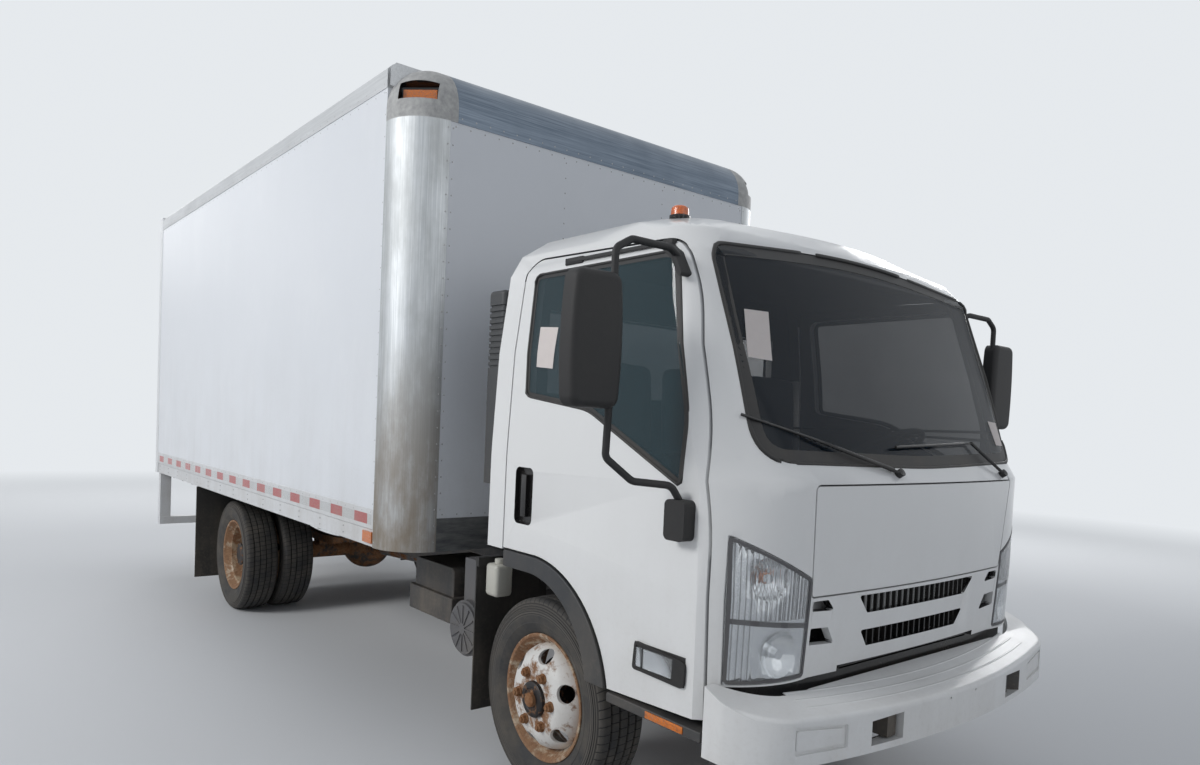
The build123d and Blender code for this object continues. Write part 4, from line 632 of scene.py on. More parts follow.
def new_object(name, shape):
    """An object in the scene with a bmesh's shape; the bmesh is freed."""
    mesh = bpy.data.meshes.new(name)
    shape.to_mesh(mesh)
    shape.free()
    made = bpy.data.objects.new(name, mesh)
    bpy.context.scene.collection.objects.link(made)
    return made


def piece(name, shape, finish, body, angle=35.0):
    """Turns a bmesh into a piece that rides on a body."""
    made = new_object(name, shape)
    smooth(made.data, angle)
    made.data.materials.append(material(finish))
    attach(made, body)
    return made


def box(shape, low, high, rounding=0.0, segments=2):
    """Adds a box between two corners, with its edges rounded."""
    low, high = Vector(low), Vector(high)
    made = bmesh.ops.create_cube(shape, size=1.0)
    corners = made["verts"]
    for corner in corners:
        corner.co = Vector((low[i] + (corner.co[i] + 0.5) * (high[i] - low[i]) for i in range(3)))
    if rounding:
        edges = list({edge for corner in corners for edge in corner.link_edges})
        bmesh.ops.bevel(shape, geom=edges, offset=rounding, segments=segments, affect="EDGES",
                        profile=0.5, clamp_overlap=True)
    return shape


def skinned(shape, rings, closed):
    """Adds a skin over rings of points, closed round to its start or open at its two ends."""
    made = [[shape.verts.new(point) for point in ring] for ring in rings]
    for first, second in zip(made, made[1:] + ([made[0]] if closed else [])):
        for step in range(len(first)):
            following = (step + 1) % len(first)
            shape.faces.new((first[step], first[following], second[following], second[step]))
    return made


def lofted(shape, rings, closed=False):
    """Adds a skin over rings of points: closed round to its start, or capped at its two ends."""
    made = skinned(shape, rings, closed)
    if not closed:
        shape.faces.new(list(reversed(made[0])))
        shape.faces.new(made[-1])
    return shape


def slab(shape, outline, offset):
    """Adds a closed prism: an outline of points, carried along by an offset."""
    return lofted(shape, [[Vector(point) for point in outline],
                          [Vector(point) + Vector(offset) for point in outline]])


def lathe(shape, profile, centre, axis, segments, closed=True):
    """Adds a profile of (along, radius) pairs turned about an axis through a centre."""
    rings = []
    for along, radius in profile:
        ring = []
        for step in range(segments):
            turn = 2 * math.pi * step / segments
            across, up = radius * math.cos(turn), radius * math.sin(turn)
            local = {"Y": (up, along, across), "Z": (across, up, along)}[axis]
            ring.append(Vector(centre) + Vector(local))
        rings.append(ring)
    skinned(shape, rings, closed)
    return shape


def twin_boxes(shape, low, high, rounding=0.0):
    """Adds a box on the left, between corners counted from the front axle, and its twin on the right."""
    for side in (-1, 1):
        near, far = sorted((side * low[1], side * high[1]))
        box(shape, at(low[0], near, low[2]), at(high[0], far, high[2]), rounding)


def fix_normals(shape):
    """Merges doubles and turns every face outwards."""
    bmesh.ops.remove_doubles(shape, verts=shape.verts, dist=1e-6)
    bmesh.ops.recalc_face_normals(shape, faces=shape.faces)
    if shape.calc_volume(signed=True) < 0:
        bmesh.ops.reverse_faces(shape, faces=shape.faces)
    return shape


def arc(corner, back, on, reach, steps):
    """Points that round a corner, from the legs back and on from it and the arc's reach along them."""
    start, end = corner + back.normalized() * reach, corner + on.normalized() * reach
    shares = [step / steps for step in range(steps + 1)]
    return [start * (1 - t) ** 2 + corner * 2 * t * (1 - t) + end * t ** 2 for t in shares]


def rounded_path(points, radius, steps=6):
    """An open line through points, with its corners turned to arcs."""
    points = [Vector(point) for point in points]
    made = [points[0]]
    for before, corner, after in zip(points, points[1:], points[2:]):
        back, on = (before - corner), (after - corner)
        made += arc(corner, back, on, min(radius, back.length * 0.48, on.length * 0.48), steps)
    return made + [points[-1]]


def tube(shape, points, radius, sides=12, loop=False, flat=1.0):
    """Adds a tube along a line of points. Flat squeezes it across its second axis."""
    points = [Vector(point) for point in points]
    count = len(points)
    rings = []
    side = None
    for index, point in enumerate(points):
        before = points[index - 1] if (loop or index) else point
        after = points[(index + 1) % count] if (loop or index < count - 1) else point
        along = (after - before).normalized()
        if side is None:
            side = along.orthogonal().normalized()
        side = (side - along * side.dot(along)).normalized()
        up = along.cross(side)
        rings.append([shape.verts.new(point + (side * math.cos(2 * math.pi * s / sides)
                                               + up * math.sin(2 * math.pi * s / sides) * flat) * radius)
                      for s in range(sides)])
    last = count if loop else count - 1
    for index in range(last):
        first, second = rings[index], rings[(index + 1) % count]
        shift = 0
        if loop and index == count - 1:
            shift = min(range(sides), key=lambda s: (first[0].co - second[s].co).length)
        for s in range(sides):
            shape.faces.new((first[s], first[(s + 1) % sides],
                             second[(s + 1 + shift) % sides], second[(s + shift) % sides]))
    if not loop:
        shape.faces.new(list(reversed(rings[0])))
        shape.faces.new(rings[-1])
    return shape


def loop_points(corners, radii, pitch=0.02):
    """A closed flat outline with its corners turned to arcs, as evenly spaced points."""
    corners = [Vector(corner) for corner in corners]
    rough = []
    for index, corner in enumerate(corners):
        back, on = corners[index - 1] - corner, corners[(index + 1) % len(corners)] - corner
        reach = min(radii[index] * math.tan((math.pi - back.angle(on)) / 2), back.length * 0.49,
                    on.length * 0.49)
        rough += arc(corner, back, on, reach, ARC_STEPS)
    rough.append(rough[0])
    lengths = [0.0]
    for first, second in zip(rough, rough[1:]):
        lengths.append(lengths[-1] + (second - first).length)
    count = max(8, round(lengths[-1] / pitch))
    made, leg = [], 0
    for index in range(count):
        along = lengths[-1] * index / count
        while lengths[leg + 1] < along:
            leg += 1
        share = (along - lengths[leg]) / max(lengths[leg + 1] - lengths[leg], 1e-9)
        made.append(rough[leg].lerp(rough[leg + 1], share))
    return made


def inset(points, distance):
    """A closed flat outline moved inwards."""
    following = points[1:] + points[:1]
    turn = 1 if sum(a.x * b.y - b.x * a.y for a, b in zip(points, following)) > 0 else -1
    made = []
    for index, point in enumerate(points):
        along = (following[index] - points[index - 1]).normalized()
        made.append(point + Vector((-along.y, along.x)) * distance * turn)
    return made


def skin_band(shape, outer, inner, on_skin, low, high):
    """Adds a band between two outlines on the cab's skin, from a low lift to a high one."""
    corners = ((outer, low), (outer, high), (inner, high), (inner, low))
    return lofted(shape, [[on_skin(point.x, point.y, lift) for point in outline]
                          for outline, lift in corners], closed=True)


def pad(shape, low, high, radius, crown, cuts=12):
    """Adds a cushion: a block with deeply rounded edges, crowned faces and two sewn channels."""
    block = bmesh.new()
    bmesh.ops.create_cube(block, size=2.0)
    bmesh.ops.subdivide_edges(block, edges=block.edges[:], cuts=cuts, use_grid_fill=True)
    middle, half = (low + high) / 2, (high - low) / 2
    for corner in block.verts:
        share = corner.co.copy()
        spot = Vector(share[i] * half[i] for i in range(3))
        core = Vector(max(-half[i] + radius, min(half[i] - radius, spot[i])) for i in range(3))
        off = spot - core
        if off.length > 1e-6:
            spot = core + off.normalized() * radius
        for axis in range(3):
            if abs(share[axis]) > 0.999:
                others = [1 - share[i] ** 2 for i in range(3) if i != axis]
                channel = math.exp(-((abs(share.y) - 0.5) / 0.05) ** 2) if axis != 1 else 0.0
                spot[axis] += math.copysign(crown * (others[0] * others[1] - 0.5 * channel), share[axis])
        corner.co = middle + spot
    join(shape, block)


def join(shape, part):
    """Moves one bmesh, part, into another."""
    mesh = bpy.data.meshes.new("part")
    part.to_mesh(mesh)
    part.free()
    shape.from_mesh(mesh)
    bpy.data.meshes.remove(mesh)


def ball(shape, centre, radius, squash, detail):
    """Adds a ball that is squashed or drawn out along its axes."""
    made = bmesh.ops.create_uvsphere(shape, u_segments=detail * 2, v_segments=detail, radius=radius)
    for corner in made["verts"]:
        corner.co = Vector((corner.co[i] * squash[i] for i in range(3))) + centre


def dress(names, piece_name, finish, rounding=None, angle=38.0, dissolve=0.6, accents=()):
    """A merged and softly edged copy of a CAD node, which it stands for.

    Each accent is a second finish and a test that takes a face by its middle, counted from the
    front axle, and its normal."""
    names = [names] if isinstance(names, str) else names
    source = frame["nodes"][names[0]]
    shape = bmesh.new()
    shape.from_mesh(source.data)
    bmesh.ops.remove_doubles(shape, verts=shape.verts, dist=2e-5)
    bmesh.ops.dissolve_limit(shape, angle_limit=math.radians(dissolve), verts=shape.verts,
                             edges=shape.edges)
    made = piece(piece_name, shape, finish, source["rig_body"], angle)
    if rounding:
        bevel = made.modifiers.new("edge_rounding", "BEVEL")
        bevel.width = rounding
        bevel.segments = 2
        bevel.limit_method = "ANGLE"
        bevel.angle_limit = math.radians(angle)
        bevel.use_clamp_overlap = True
        bevel.harden_normals = True
        keep_evaluated(made)
    for accent, takes in accents:
        made.data.materials.append(material(accent))
        for face in made.data.polygons:
            if takes(face.center - at(0, 0, 0), face.normal):
                face.material_index = len(made.data.materials) - 1
    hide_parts(*names)
    return made


def zone(*boxes):
    """A test for a face whose middle is in one of some boxes; their widths count on both sides."""
    return lambda spot, normal: any(
        low[0] < spot.x < high[0] and low[1] < abs(spot.y) < high[1] and low[2] < spot.z < high[2]
        for low, high in boxes)


def keep_evaluated(made):
    """Bakes a piece's modifiers into its mesh."""
    graph = bpy.context.evaluated_depsgraph_get()
    graph.update()
    mesh = bpy.data.meshes.new_from_object(made.evaluated_get(graph))
    made.modifiers.clear()
    made.data = mesh


def finish_node(name, finish):
    """Gives a CAD node that stays as it is its own finish."""
    mesh = frame["nodes"][name].data
    mesh.materials.clear()
    mesh.materials.append(material(finish))


def skin_tree(names):
    """A search tree over several CAD nodes, for laying pieces on their surface."""
    points, faces = [], []
    for name in names:
        mesh = frame["nodes"][name].data
        start = len(points)
        points.extend(corner.co.copy() for corner in mesh.vertices)
        faces.extend([start + index for index in face.vertices] for face in mesh.polygons)
    return BVHTree.FromPolygons(points, faces)


CAB_SKIN = skin_tree(["cab_shell", "door_left", "door_right", "cab_glass", "door_glass_left",
                      "door_glass_right", "front_lid", "grille", "headlamp_lenses"])


def on_front(y, z, lift=0.0):
    """The point of the cab's front at a width and height, lifted off it."""
    hit, normal = CAB_SKIN.ray_cast(at(REACH, y, z), Vector((-1, 0, 0)))[:2]
    return hit + normal * lift


def on_side(x, z, side, lift=0.0):
    """The point of the cab's side at a distance ahead of the axle and a height."""
    hit, normal = CAB_SKIN.ray_cast(at(x, side * REACH, z), Vector((0, -side, 0)))[:2]
    return hit + normal * lift


# Geometry Nodes: copies along seams and round circles
def copies_tree(name, round_circle):
    """Copies of a pattern object along a line at a pitch, or so many round a circle."""
    tree = bpy.data.node_groups.new(name, "GeometryNodeTree")
    for label, kind in (("Geometry", "Geometry"), ("Pattern", "Object"), ("Pitch", "Float"),
                        ("Count", "Int"), ("Radius", "Float"), ("Centre", "Vector"),
                        ("Finish", "Material")):
        tree.interface.new_socket(label, in_out="INPUT", socket_type="NodeSocket" + kind)
    tree.interface.new_socket("Geometry", in_out="OUTPUT", socket_type="NodeSocketGeometry")
    given, out = tree.nodes.new("NodeGroupInput").outputs, tree.nodes.new("NodeGroupOutput").inputs

    def step(kind, inputs, **settings):
        return node(tree, "GeometryNode" + kind, inputs, **settings).outputs[0]

    pattern = node(tree, "GeometryNodeObjectInfo", {"Object": given["Pattern"]}).outputs["Geometry"]
    if round_circle:
        circle = step("MeshCircle", {"Vertices": given["Count"], "Radius": given["Radius"]})
        share = math_node(tree, "DIVIDE", step("InputIndex", {}), given["Count"])
        spin = node(tree, "ShaderNodeCombineXYZ", {"Z": times(tree, share, 2 * math.pi)}).outputs[0]
        flat = step("InstanceOnPoints", {"Points": circle, "Instance": pattern, "Rotation": spin})
        copies = step("Transform", {"Geometry": flat, "Rotation": (-math.pi / 2, 0, 0),
                                    "Translation": given["Centre"]})
    else:
        line = step("MeshToCurve", {"Mesh": given["Geometry"]})
        spaced = step("ResampleCurve", {"Curve": line, "Length": given["Pitch"]}, mode="LENGTH")
        copies = step("InstanceOnPoints", {"Points": spaced, "Instance": pattern})
    real = step("RealizeInstances", {"Geometry": copies})
    feed(tree, out["Geometry"], step("SetMaterial", {"Geometry": real, "Material": given["Finish"]}))
    return tree


TREES = {}


def grown(name, lines, pattern, finish, body, pitch=0.1, count=6, radius=0.1, centre=(0, 0, 0)):
    """Runs a copies tree once and keeps its result as a plain piece. Without lines it goes round."""
    key = "ring_of_copies" if lines is None else "row_of_copies"
    if key not in TREES:
        TREES[key] = copies_tree(key, lines is None)
    mesh = bpy.data.meshes.new(name)
    if lines is not None:
        points, edges = [], []
        for line in lines:
            start = len(points)
            points.extend(line)
            edges.extend((start + i, start + i + 1) for i in range(len(line) - 1))
        mesh.from_pydata([tuple(point) for point in points], edges, [])
    made = bpy.data.objects.new(name, mesh)
    bpy.context.scene.collection.objects.link(made)
    stencil = new_object(name + "_pattern", pattern)
    growth = made.modifiers.new("copies", "NODES")
    growth.node_group = TREES[key]
    values = {"Pattern": stencil, "Pitch": pitch, "Count": count, "Radius": radius,
              "Centre": tuple(centre), "Finish": material(finish)}
    for item in TREES[key].interface.items_tree:
        if item.in_out == "INPUT" and item.name in values:
            growth[item.identifier] = values[item.name]
    keep_evaluated(made)
    bpy.data.objects.remove(stencil)
    smooth(made.data)
    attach(made, body)


def rivet_pattern(radius):
    """A small ball, half of which stands out of the sheet."""
    shape = bmesh.new()
    bmesh.ops.create_uvsphere(shape, u_segments=8, v_segments=5, radius=radius)
    return shape


# Operators, one for each piece or group of like pieces
class TruckPart(bpy.types.Operator):
    """Base of the truck's operators."""
    bl_idname = "truck.part"
    bl_label = "Truck part"
    bl_options = {"REGISTER", "UNDO"}

    def make(self):
        raise NotImplementedError

    def execute(self, context):
        self.make()
        return {"FINISHED"}


class TRUCK_OT_tyres(TruckPart):
    """Six tyres with grooved treads and ringed sidewalls"""
    bl_idname = "truck.tyres"
    bl_label = "Tyres"

    GROOVES = (-0.060, -0.021, 0.021, 0.060)
    GROOVE_HALF = 0.005
    SEGMENTS = 120

    def profile(self):
        """The section from the inner bead over the tread to the outer bead, as (across, radius)."""
        bead = [(-0.089, RIM_RADIUS + 0.0005), (-0.095, 0.266), (-0.1035, 0.281)]
        wall = [(-0.1080, 0.294), (-0.1108, 0.300), (-0.1095, 0.303), (-0.1125, 0.322), (-0.1130, 0.340),
                (-0.1120, 0.352), (-0.1142, 0.354), (-0.1142, 0.357), (-0.1112, 0.3595), (-0.1108, 0.364),
                (-0.1132, 0.3655), (-0.1130, 0.3685), (-0.1098, 0.371), (-0.1090, 0.375), (-0.1108, 0.3765),
                (-0.1100, 0.3795), (-0.1062, 0.382), (-0.1046, 0.387)]
        shoulder = [(-0.0990, 0.3945), (-0.0930, 0.3985), (-0.0870, 0.4008)]
        half = bead + wall + shoulder
        tread = []
        depth = sizes().tread_depth
        for middle in self.GROOVES:
            crown = TYRE_RADIUS - abs(middle) * 0.055
            tread += [(middle - self.GROOVE_HALF, crown), (middle - self.GROOVE_HALF * 0.6, crown - depth),
                      (middle + self.GROOVE_HALF * 0.6, crown - depth), (middle + self.GROOVE_HALF, crown)]
        return half + tread + [(-across, radius) for across, radius in reversed(half)]

    def make(self):
        wheels = [("front", AXLE_X, FRONT_WHEEL_Y, "front_{}_wheel"),
                  ("rear_outer", REAR_AXLE_X, REAR_OUTER_Y, "rear_{}_wheels"),
                  ("rear_inner", REAR_AXLE_X, REAR_INNER_Y, "rear_{}_wheels")]
        profile = self.profile()
        for place_name, x, y, body in wheels:
            for side_name, side in SIDES:
                shape = bmesh.new()
                lathe(shape, profile, (x, side * y, HUB_Z), "Y", self.SEGMENTS, closed=False)
                uv, wall = (shape.loops.layers.uv.new(label) for label in ("round", "wall"))
                count = len(profile)
                shape.verts.index_update()
                for face in shape.faces:
                    turns = [loop.vert.index % self.SEGMENTS for loop in face.loops]
                    wraps = max(turns) - min(turns) > 2
                    for loop, turn in zip(face.loops, turns):
                        lap = self.SEGMENTS if wraps and turn == 0 else 0
                        loop[uv].uv = ((turn + lap) / self.SEGMENTS,
                                       (loop.vert.index // self.SEGMENTS) / (count - 1))
                        loop[wall].uv = (profile[loop.vert.index // self.SEGMENTS][1], 0.0)
                bmesh.ops.recalc_face_normals(shape, faces=shape.faces)
                name = f"{place_name}_tyre_{side_name}_tread"
                made = piece(name, shape, "tyre_rubber", body.format(side_name), 28)
                if place_name == "front":
                    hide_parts(f"front_tyre_{side_name}")
                elif place_name == "rear_outer":
                    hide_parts(f"rear_tyres_{side_name}")


class TRUCK_OT_wheels(TruckPart):
    """Dished steel wheels with hand holes, hubs, studs and nuts"""
    bl_idname = "truck.wheels"
    bl_label = "Wheels"

    SEGMENTS = 96
    STUD_CIRCLE = 0.111125
    REAR_BOLT_CIRCLE = 0.072
    HAND_HOLES = 6
    HOLE_CIRCLE = 0.178
    # Half sizes of a hand hole, out from the hub and round it, its sides, and the first hole's turn
    HOLE_HALF = (0.027, 0.037)
    HOLE_SIDES = 28
    FIRST_HOLE = 20
    # Where a hand hole's cutter starts, out from the middle plane, and how deep it goes
    CUTTER_START, CUTTER_DEPTH = 0.05, 0.11
    # Where the nuts stand, out from the wheel's middle plane: on the dish in front, in it at the rear
    FRONT_NUTS, REAR_NUTS = 0.130, -0.119
    REAR_BOLTS_Y = 1.0055
    # Sections as (out from the middle plane, radius). The rim and disc, front face first
    SECTION = [
        (-0.0900, 0.2578), (-0.0885, 0.2540), (-0.0830, 0.2465), (-0.0720, 0.2430), (-0.050, 0.2230),
        (0.020, 0.2225), (0.050, 0.2235), (0.072, 0.2430), (0.083, 0.2465),
        (0.0885, 0.2540), (0.0900, 0.2578), (0.0945, 0.2568), (0.0960, 0.2520), (0.0930, 0.2440),
        (0.0820, 0.2370), (0.0640, 0.2280), (0.0500, 0.2180), (0.0455, 0.2145), (0.0560, 0.2110),
        (0.0740, 0.2050), (0.0900, 0.1960), (0.1030, 0.1850), (0.1140, 0.1720), (0.1225, 0.1580),
        (0.1280, 0.1450), (0.1300, 0.1360), (0.1300, 0.0600), (0.1190, 0.0600), (0.1190, 0.1330),
        (0.1160, 0.1440), (0.1100, 0.1570), (0.1000, 0.1720), (0.0880, 0.1840), (0.0730, 0.1950),
        (0.0560, 0.2020), (0.0400, 0.2060), (0.0200, 0.2120), (-0.0450, 0.2130), (-0.0680, 0.2310),
        (-0.0820, 0.2370), (-0.0930, 0.2440), (-0.0960, 0.2520), (-0.0945, 0.2568)]
    HUB = ((-0.040, 0.0001), (-0.040, 0.150), (-0.005, 0.150), (0.0, 0.085), (0.100, 0.078),
           (0.118, 0.0740), (0.136, 0.0735), (0.143, 0.0710), (0.1465, 0.066), (0.1480, 0.048),
           (0.1450, 0.045), (0.1450, 0.0001))
    HUB_CAP = ((0.144, 0.0001), (0.144, 0.029), (0.158, 0.028), (0.1625, 0.024), (0.1655, 0.014),
               (0.1662, 0.0001))
    # The rear hub's section counts from the truck's middle
    REAR_HUB = ((0.655, 0.0001), (0.655, 0.160), (0.700, 0.160), (0.705, 0.070), (0.995, 0.064),
                (0.998, 0.083), (1.006, 0.083), (1.009, 0.070), (1.0095, 0.0001))

    def disc(self, x, y, facing):
        """One wheel with its hand holes cut. Facing is the side of the dished face."""
        shape = lathe(bmesh.new(), [(facing * out, radius) for out, radius in self.SECTION],
                      (x, y, HUB_Z), "Y", self.SEGMENTS)
        disc = new_object("wheel_disc", fix_normals(shape))
        holes = bmesh.new()
        for index in range(self.HAND_HOLES):
            turn = math.radians(self.FIRST_HOLE + 360 * index / self.HAND_HOLES)
            out = Vector((math.cos(turn), 0, math.sin(turn)))
            round_hub = Vector((-math.sin(turn), 0, math.cos(turn)))
            middle = Vector((x, y + facing * self.CUTTER_START, HUB_Z)) + out * self.HOLE_CIRCLE
            steps = [2 * math.pi * step / self.HOLE_SIDES for step in range(self.HOLE_SIDES)]
            slab(holes, [middle + out * self.HOLE_HALF[0] * math.cos(step)
                         + round_hub * self.HOLE_HALF[1] * math.sin(step) for step in steps],
                 (0, facing * self.CUTTER_DEPTH, 0))
        cutter = new_object("hole_cutter", fix_normals(holes))
        cut = disc.modifiers.new("hand_holes", "BOOLEAN")
        cut.operation = "DIFFERENCE"
        cut.object = cutter
        cut.solver = "EXACT"
        keep_evaluated(disc)
        result = bmesh.new()
        result.from_mesh(disc.data)
        bpy.data.objects.remove(disc)
        bpy.data.objects.remove(cutter)
        return result

    def stacked(self, side, *sections):
        """Sections as (height, radius), each with its sides, turned about one axis that points out."""
        shape = bmesh.new()
        for sides, section in sections:
            lathe(shape, section, (0, 0, 0), "Z", sides)
        if side < 0:
            bmesh.ops.scale(shape, vec=(1, 1, -1), verts=shape.verts)
        return fix_normals(shape)

    def nut(self, side, height):
        """A hexagon nut on its washer with the stud's end, standing along the wheel's axle."""
        return self.stacked(
            side,
            (18, [(0, 0.0001), (0, 0.0215), (0.004, 0.0215), (0.006, 0.019), (0.006, 0.0001)]),
            (6, [(0.005, 0.0001), (0.005, 0.0185), (height * 0.70, 0.0185), (height * 0.78, 0.0160),
                 (height * 0.78, 0.0001)]),
            (12, [(0.005, 0.0001), (0.005, 0.0098), (height * 0.96, 0.0098), (height, 0.0085),
                  (height, 0.0001)]))

    def turned(self, name, section, side, x, y, segments, finish, body):
        """A piece turned about the axle from its section."""
        shape = lathe(bmesh.new(), [(side * out, radius) for out, radius in section], (x, y, HUB_Z), "Y",
                      segments)
        piece(name, fix_normals(shape), finish, body)

    def nuts(self, name, pattern, body, count, radius, x, y):
        grown(name, None, pattern, "nut_rust", body, count=count, radius=radius,
              centre=(x, y, HUB_Z))

    def make(self):
        for side_name, side in SIDES:
            body, x, y = f"front_{side_name}_wheel", AXLE_X, side * FRONT_WHEEL_Y
            made = piece(f"front_rim_{side_name}", self.disc(x, y, side), "front_wheel_paint", body,
                         32)
            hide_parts(f"front_wheel_{side_name}")
            self.nuts(f"front_nuts_{side_name}", self.nut(side, 0.028), body, 6, self.STUD_CIRCLE, x,
                      y + side * self.FRONT_NUTS)
            self.turned(f"front_hub_{side_name}", self.HUB, side, x, y, 48, "hub_black", body)
            self.turned(f"front_hub_cap_{side_name}", self.HUB_CAP, side, x, y, 32, "nut_rust", body)
            body, x = f"rear_{side_name}_wheels", REAR_AXLE_X
            discs = self.disc(x, side * REAR_OUTER_Y, -side)
            join(discs, self.disc(x, side * REAR_INNER_Y, side))
            made = piece(f"rear_rims_{side_name}", discs, "rear_wheel_paint", body, 32)
            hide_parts(f"rear_wheels_{side_name}")
            self.nuts(f"rear_nuts_{side_name}", self.nut(side, 0.036), body, 6, self.STUD_CIRCLE, x,
                      side * (REAR_OUTER_Y + self.REAR_NUTS))
            self.turned(f"rear_hub_{side_name}", self.REAR_HUB, side, x, 0.0, 48, "hub_black", body)
            bolt = self.stacked(side, (6, [(0, 0.0001), (0, 0.0065), (0.004, 0.0065), (0.004, 0.0001)]))
            self.nuts(f"rear_hub_bolts_{side_name}", bolt, body, 8, self.REAR_BOLT_CIRCLE, x,
                      side * self.REAR_BOLTS_Y)


class TRUCK_OT_cab_panels(TruckPart):
    """The cab's panels, lid, grille and bumper with softly rounded edges"""
    bl_idname = "truck.cab_panels"
    bl_label = "Cab panels"

    # The grille's two rows of slats: how far ahead their fronts are at the middle, height limits
    SLOTS = ((1.073, 0.786, 0.858), (1.084, 0.906, 0.983))
    SLAT_DEPTH = 0.0145
    # The nose falls back by so much at the given half width
    NOSE_BOW = 0.025
    NOSE_HALF = 0.620
    # Boxes round faces of another finish, as two corners each, counted from the front axle. Widths
    # count on both sides, and one that starts below 0 takes the middle too
    ROOM = ((-0.290, -1, 0.700), (0.970, 0.935, 2.300))
    ROOM_MIDDLE = Vector((0.3, 0.0, 1.6))
    BEHIND_GRILLE = ((0.980, -1, 0.880), (1.030, 0.640, 1.000))
    BUMPER_BRACKETS = (((1.100, 0.355, 0.0), (1.233, 0.575, 0.630)),
                       ((1.238, 0.355, 0.0), (1.242, 0.450, 0.630)))
    # A door's inner faces: within this width and looking inwards by this much
    DOOR_INSIDE = 0.955
    INWARDS = -0.3
    BEACON_BASE_Z = 2.350
    # The black plate that paints the shadow in the gap over the bumper: (ahead, y) from its end to the
    # middle, and two heights
    GAP_LINE = ((0.902, 0.976), (0.984, 0.900), (1.052, 0.600))
    GAP_LOW, GAP_HIGH = 0.650, 0.7265
    GAP_PLATE_THICK = 0.004
    # Flat plates behind the grille's slots, behind its outer ducts and behind the bumper's openings; those
    # behind the openings are painted shade
    GRILLE_PLATES = (((1.048, -0.44, 0.720), (1.052, 0.44, 0.7485)),
                     ((0.986, -0.630, 0.744), (0.990, 0.630, 0.884)))
    DUCT_PLATE = ((0.972, 0.500, 0.884), (0.976, 0.642, 0.985))
    HOLE_BACKING = ((1.140, 0.345, 0.520), (1.144, 0.505, 0.625))
    PLATE_ROUNDING = 0.001
    # Ribs on the bumper's top: how far behind its front edge, half length and section
    BUMPER_RIBS = (0.060, 0.105, 0.150)
    RIB_HALF = 0.74
    RIB_STEPS = 24
    RIB_SECTION = ((-0.007, -0.002), (-0.003, 0.0022), (0.003, 0.0008), (0.007, -0.004))
    # The bumper's top: its front edge and how that bows back, and its height and slope from one point
    BUMPER_FRONT = 1.280
    BUMPER_BOW = 7.614
    BUMPER_TOP = (1.065, 0.690)
    BUMPER_SLOPE = 0.2213

    def slat(self, spot, normal):
        """True for the upright slats in the wide slots, which stand back from the grille's face."""
        ahead = spot.x + self.NOSE_BOW * (spot.y / self.NOSE_HALF) ** 2
        return any(low < spot.z < high and front - self.SLAT_DEPTH < ahead < front + 0.0005
                   for front, low, high in self.SLOTS)

    def lining(self, spot, normal):
        """True for the faces that look into the cab's room."""
        return zone(self.ROOM)(spot, normal) and normal.dot(self.ROOM_MIDDLE - spot) > 0

    def door_inside(self, spot, normal):
        return abs(spot.y) < self.DOOR_INSIDE and normal.y * spot.y < self.INWARDS

    def make(self):
        edge = sizes().edge_round
        (rear, fore), (low, high) = HANDLE_RECESS
        recess = ((rear, 0.975, low), (fore, DOOR_FACE_Y - 0.0035, high))
        (rear, fore), (low, high) = DOOR_LAMP
        lamp = ((rear - 0.003, DOOR_FACE_Y + 0.0006, low - 0.003), (fore + 0.003, 2, high + 0.003))
        dress("cab_shell", "cab_body", "cab_paint", edge, accents=[
            ("dash_plastic", self.lining), ("smooth_black", zone(self.BEHIND_GRILLE))])
        for side_name, _ in SIDES:
            dress(f"door_{side_name}", f"door_panel_{side_name}", "cab_paint", edge, accents=[
                ("smooth_black", zone(recess)), ("mirror_plastic", zone(lamp)),
                ("dash_plastic", self.door_inside)])
        dress("front_lid", "service_lid_panel", "cab_paint", edge)
        dress("grille", "grille_panel", "cab_paint", None, accents=[("smooth_black", self.slat)])
        dress("front_bumper", "bumper", "bumper_paint", edge * 1.5, accents=[
            ("frame_black", zone(*self.BUMPER_BRACKETS))])
        dress("arch_flares_and_steps", "flares_and_steps", "flare_plastic", edge)
        dress("roof_beacon", "roof_beacon_dome", "orange_dome", None, angle=50.0, accents=[
            ("smooth_black", lambda spot, normal: spot.z < self.BEACON_BASE_Z)])
        dress("intake_snorkel", "air_intake_stack", "stack_plastic", 0.003)
        dress("wipers", "wiper_arms_and_blades", "smooth_black", None, angle=50.0)
        dress("dashboard", "dashboard_and_wheel", "dash_plastic", 0.004)
        for name, finish in (("cab_glass", "windscreen_glass"), ("door_glass_left", "window_glass"),
                             ("door_glass_right", "window_glass")):
            finish_node(name, finish)
        panes = frame["nodes"]["cab_glass"].data
        panes.materials.append(material("rear_glass"))
        for face in panes.polygons:
            face.material_index = 1 if face.center.x < AXLE_X else 0
        self.grille_backing()
        self.ribs()
        # Black plates behind the bumper's openings: painted shade in the holes
        shape = bmesh.new()
        twin_boxes(shape, *self.HOLE_BACKING, self.PLATE_ROUNDING)
        piece("bumper_hole_backing", shape, "frame_black", "chassis")

    def grille_backing(self):
        """The black plates seen through the grille's slots and in the gap below them; the plate along the gap
        over the bumper is a painted shadow.
        """
        shape = bmesh.new()
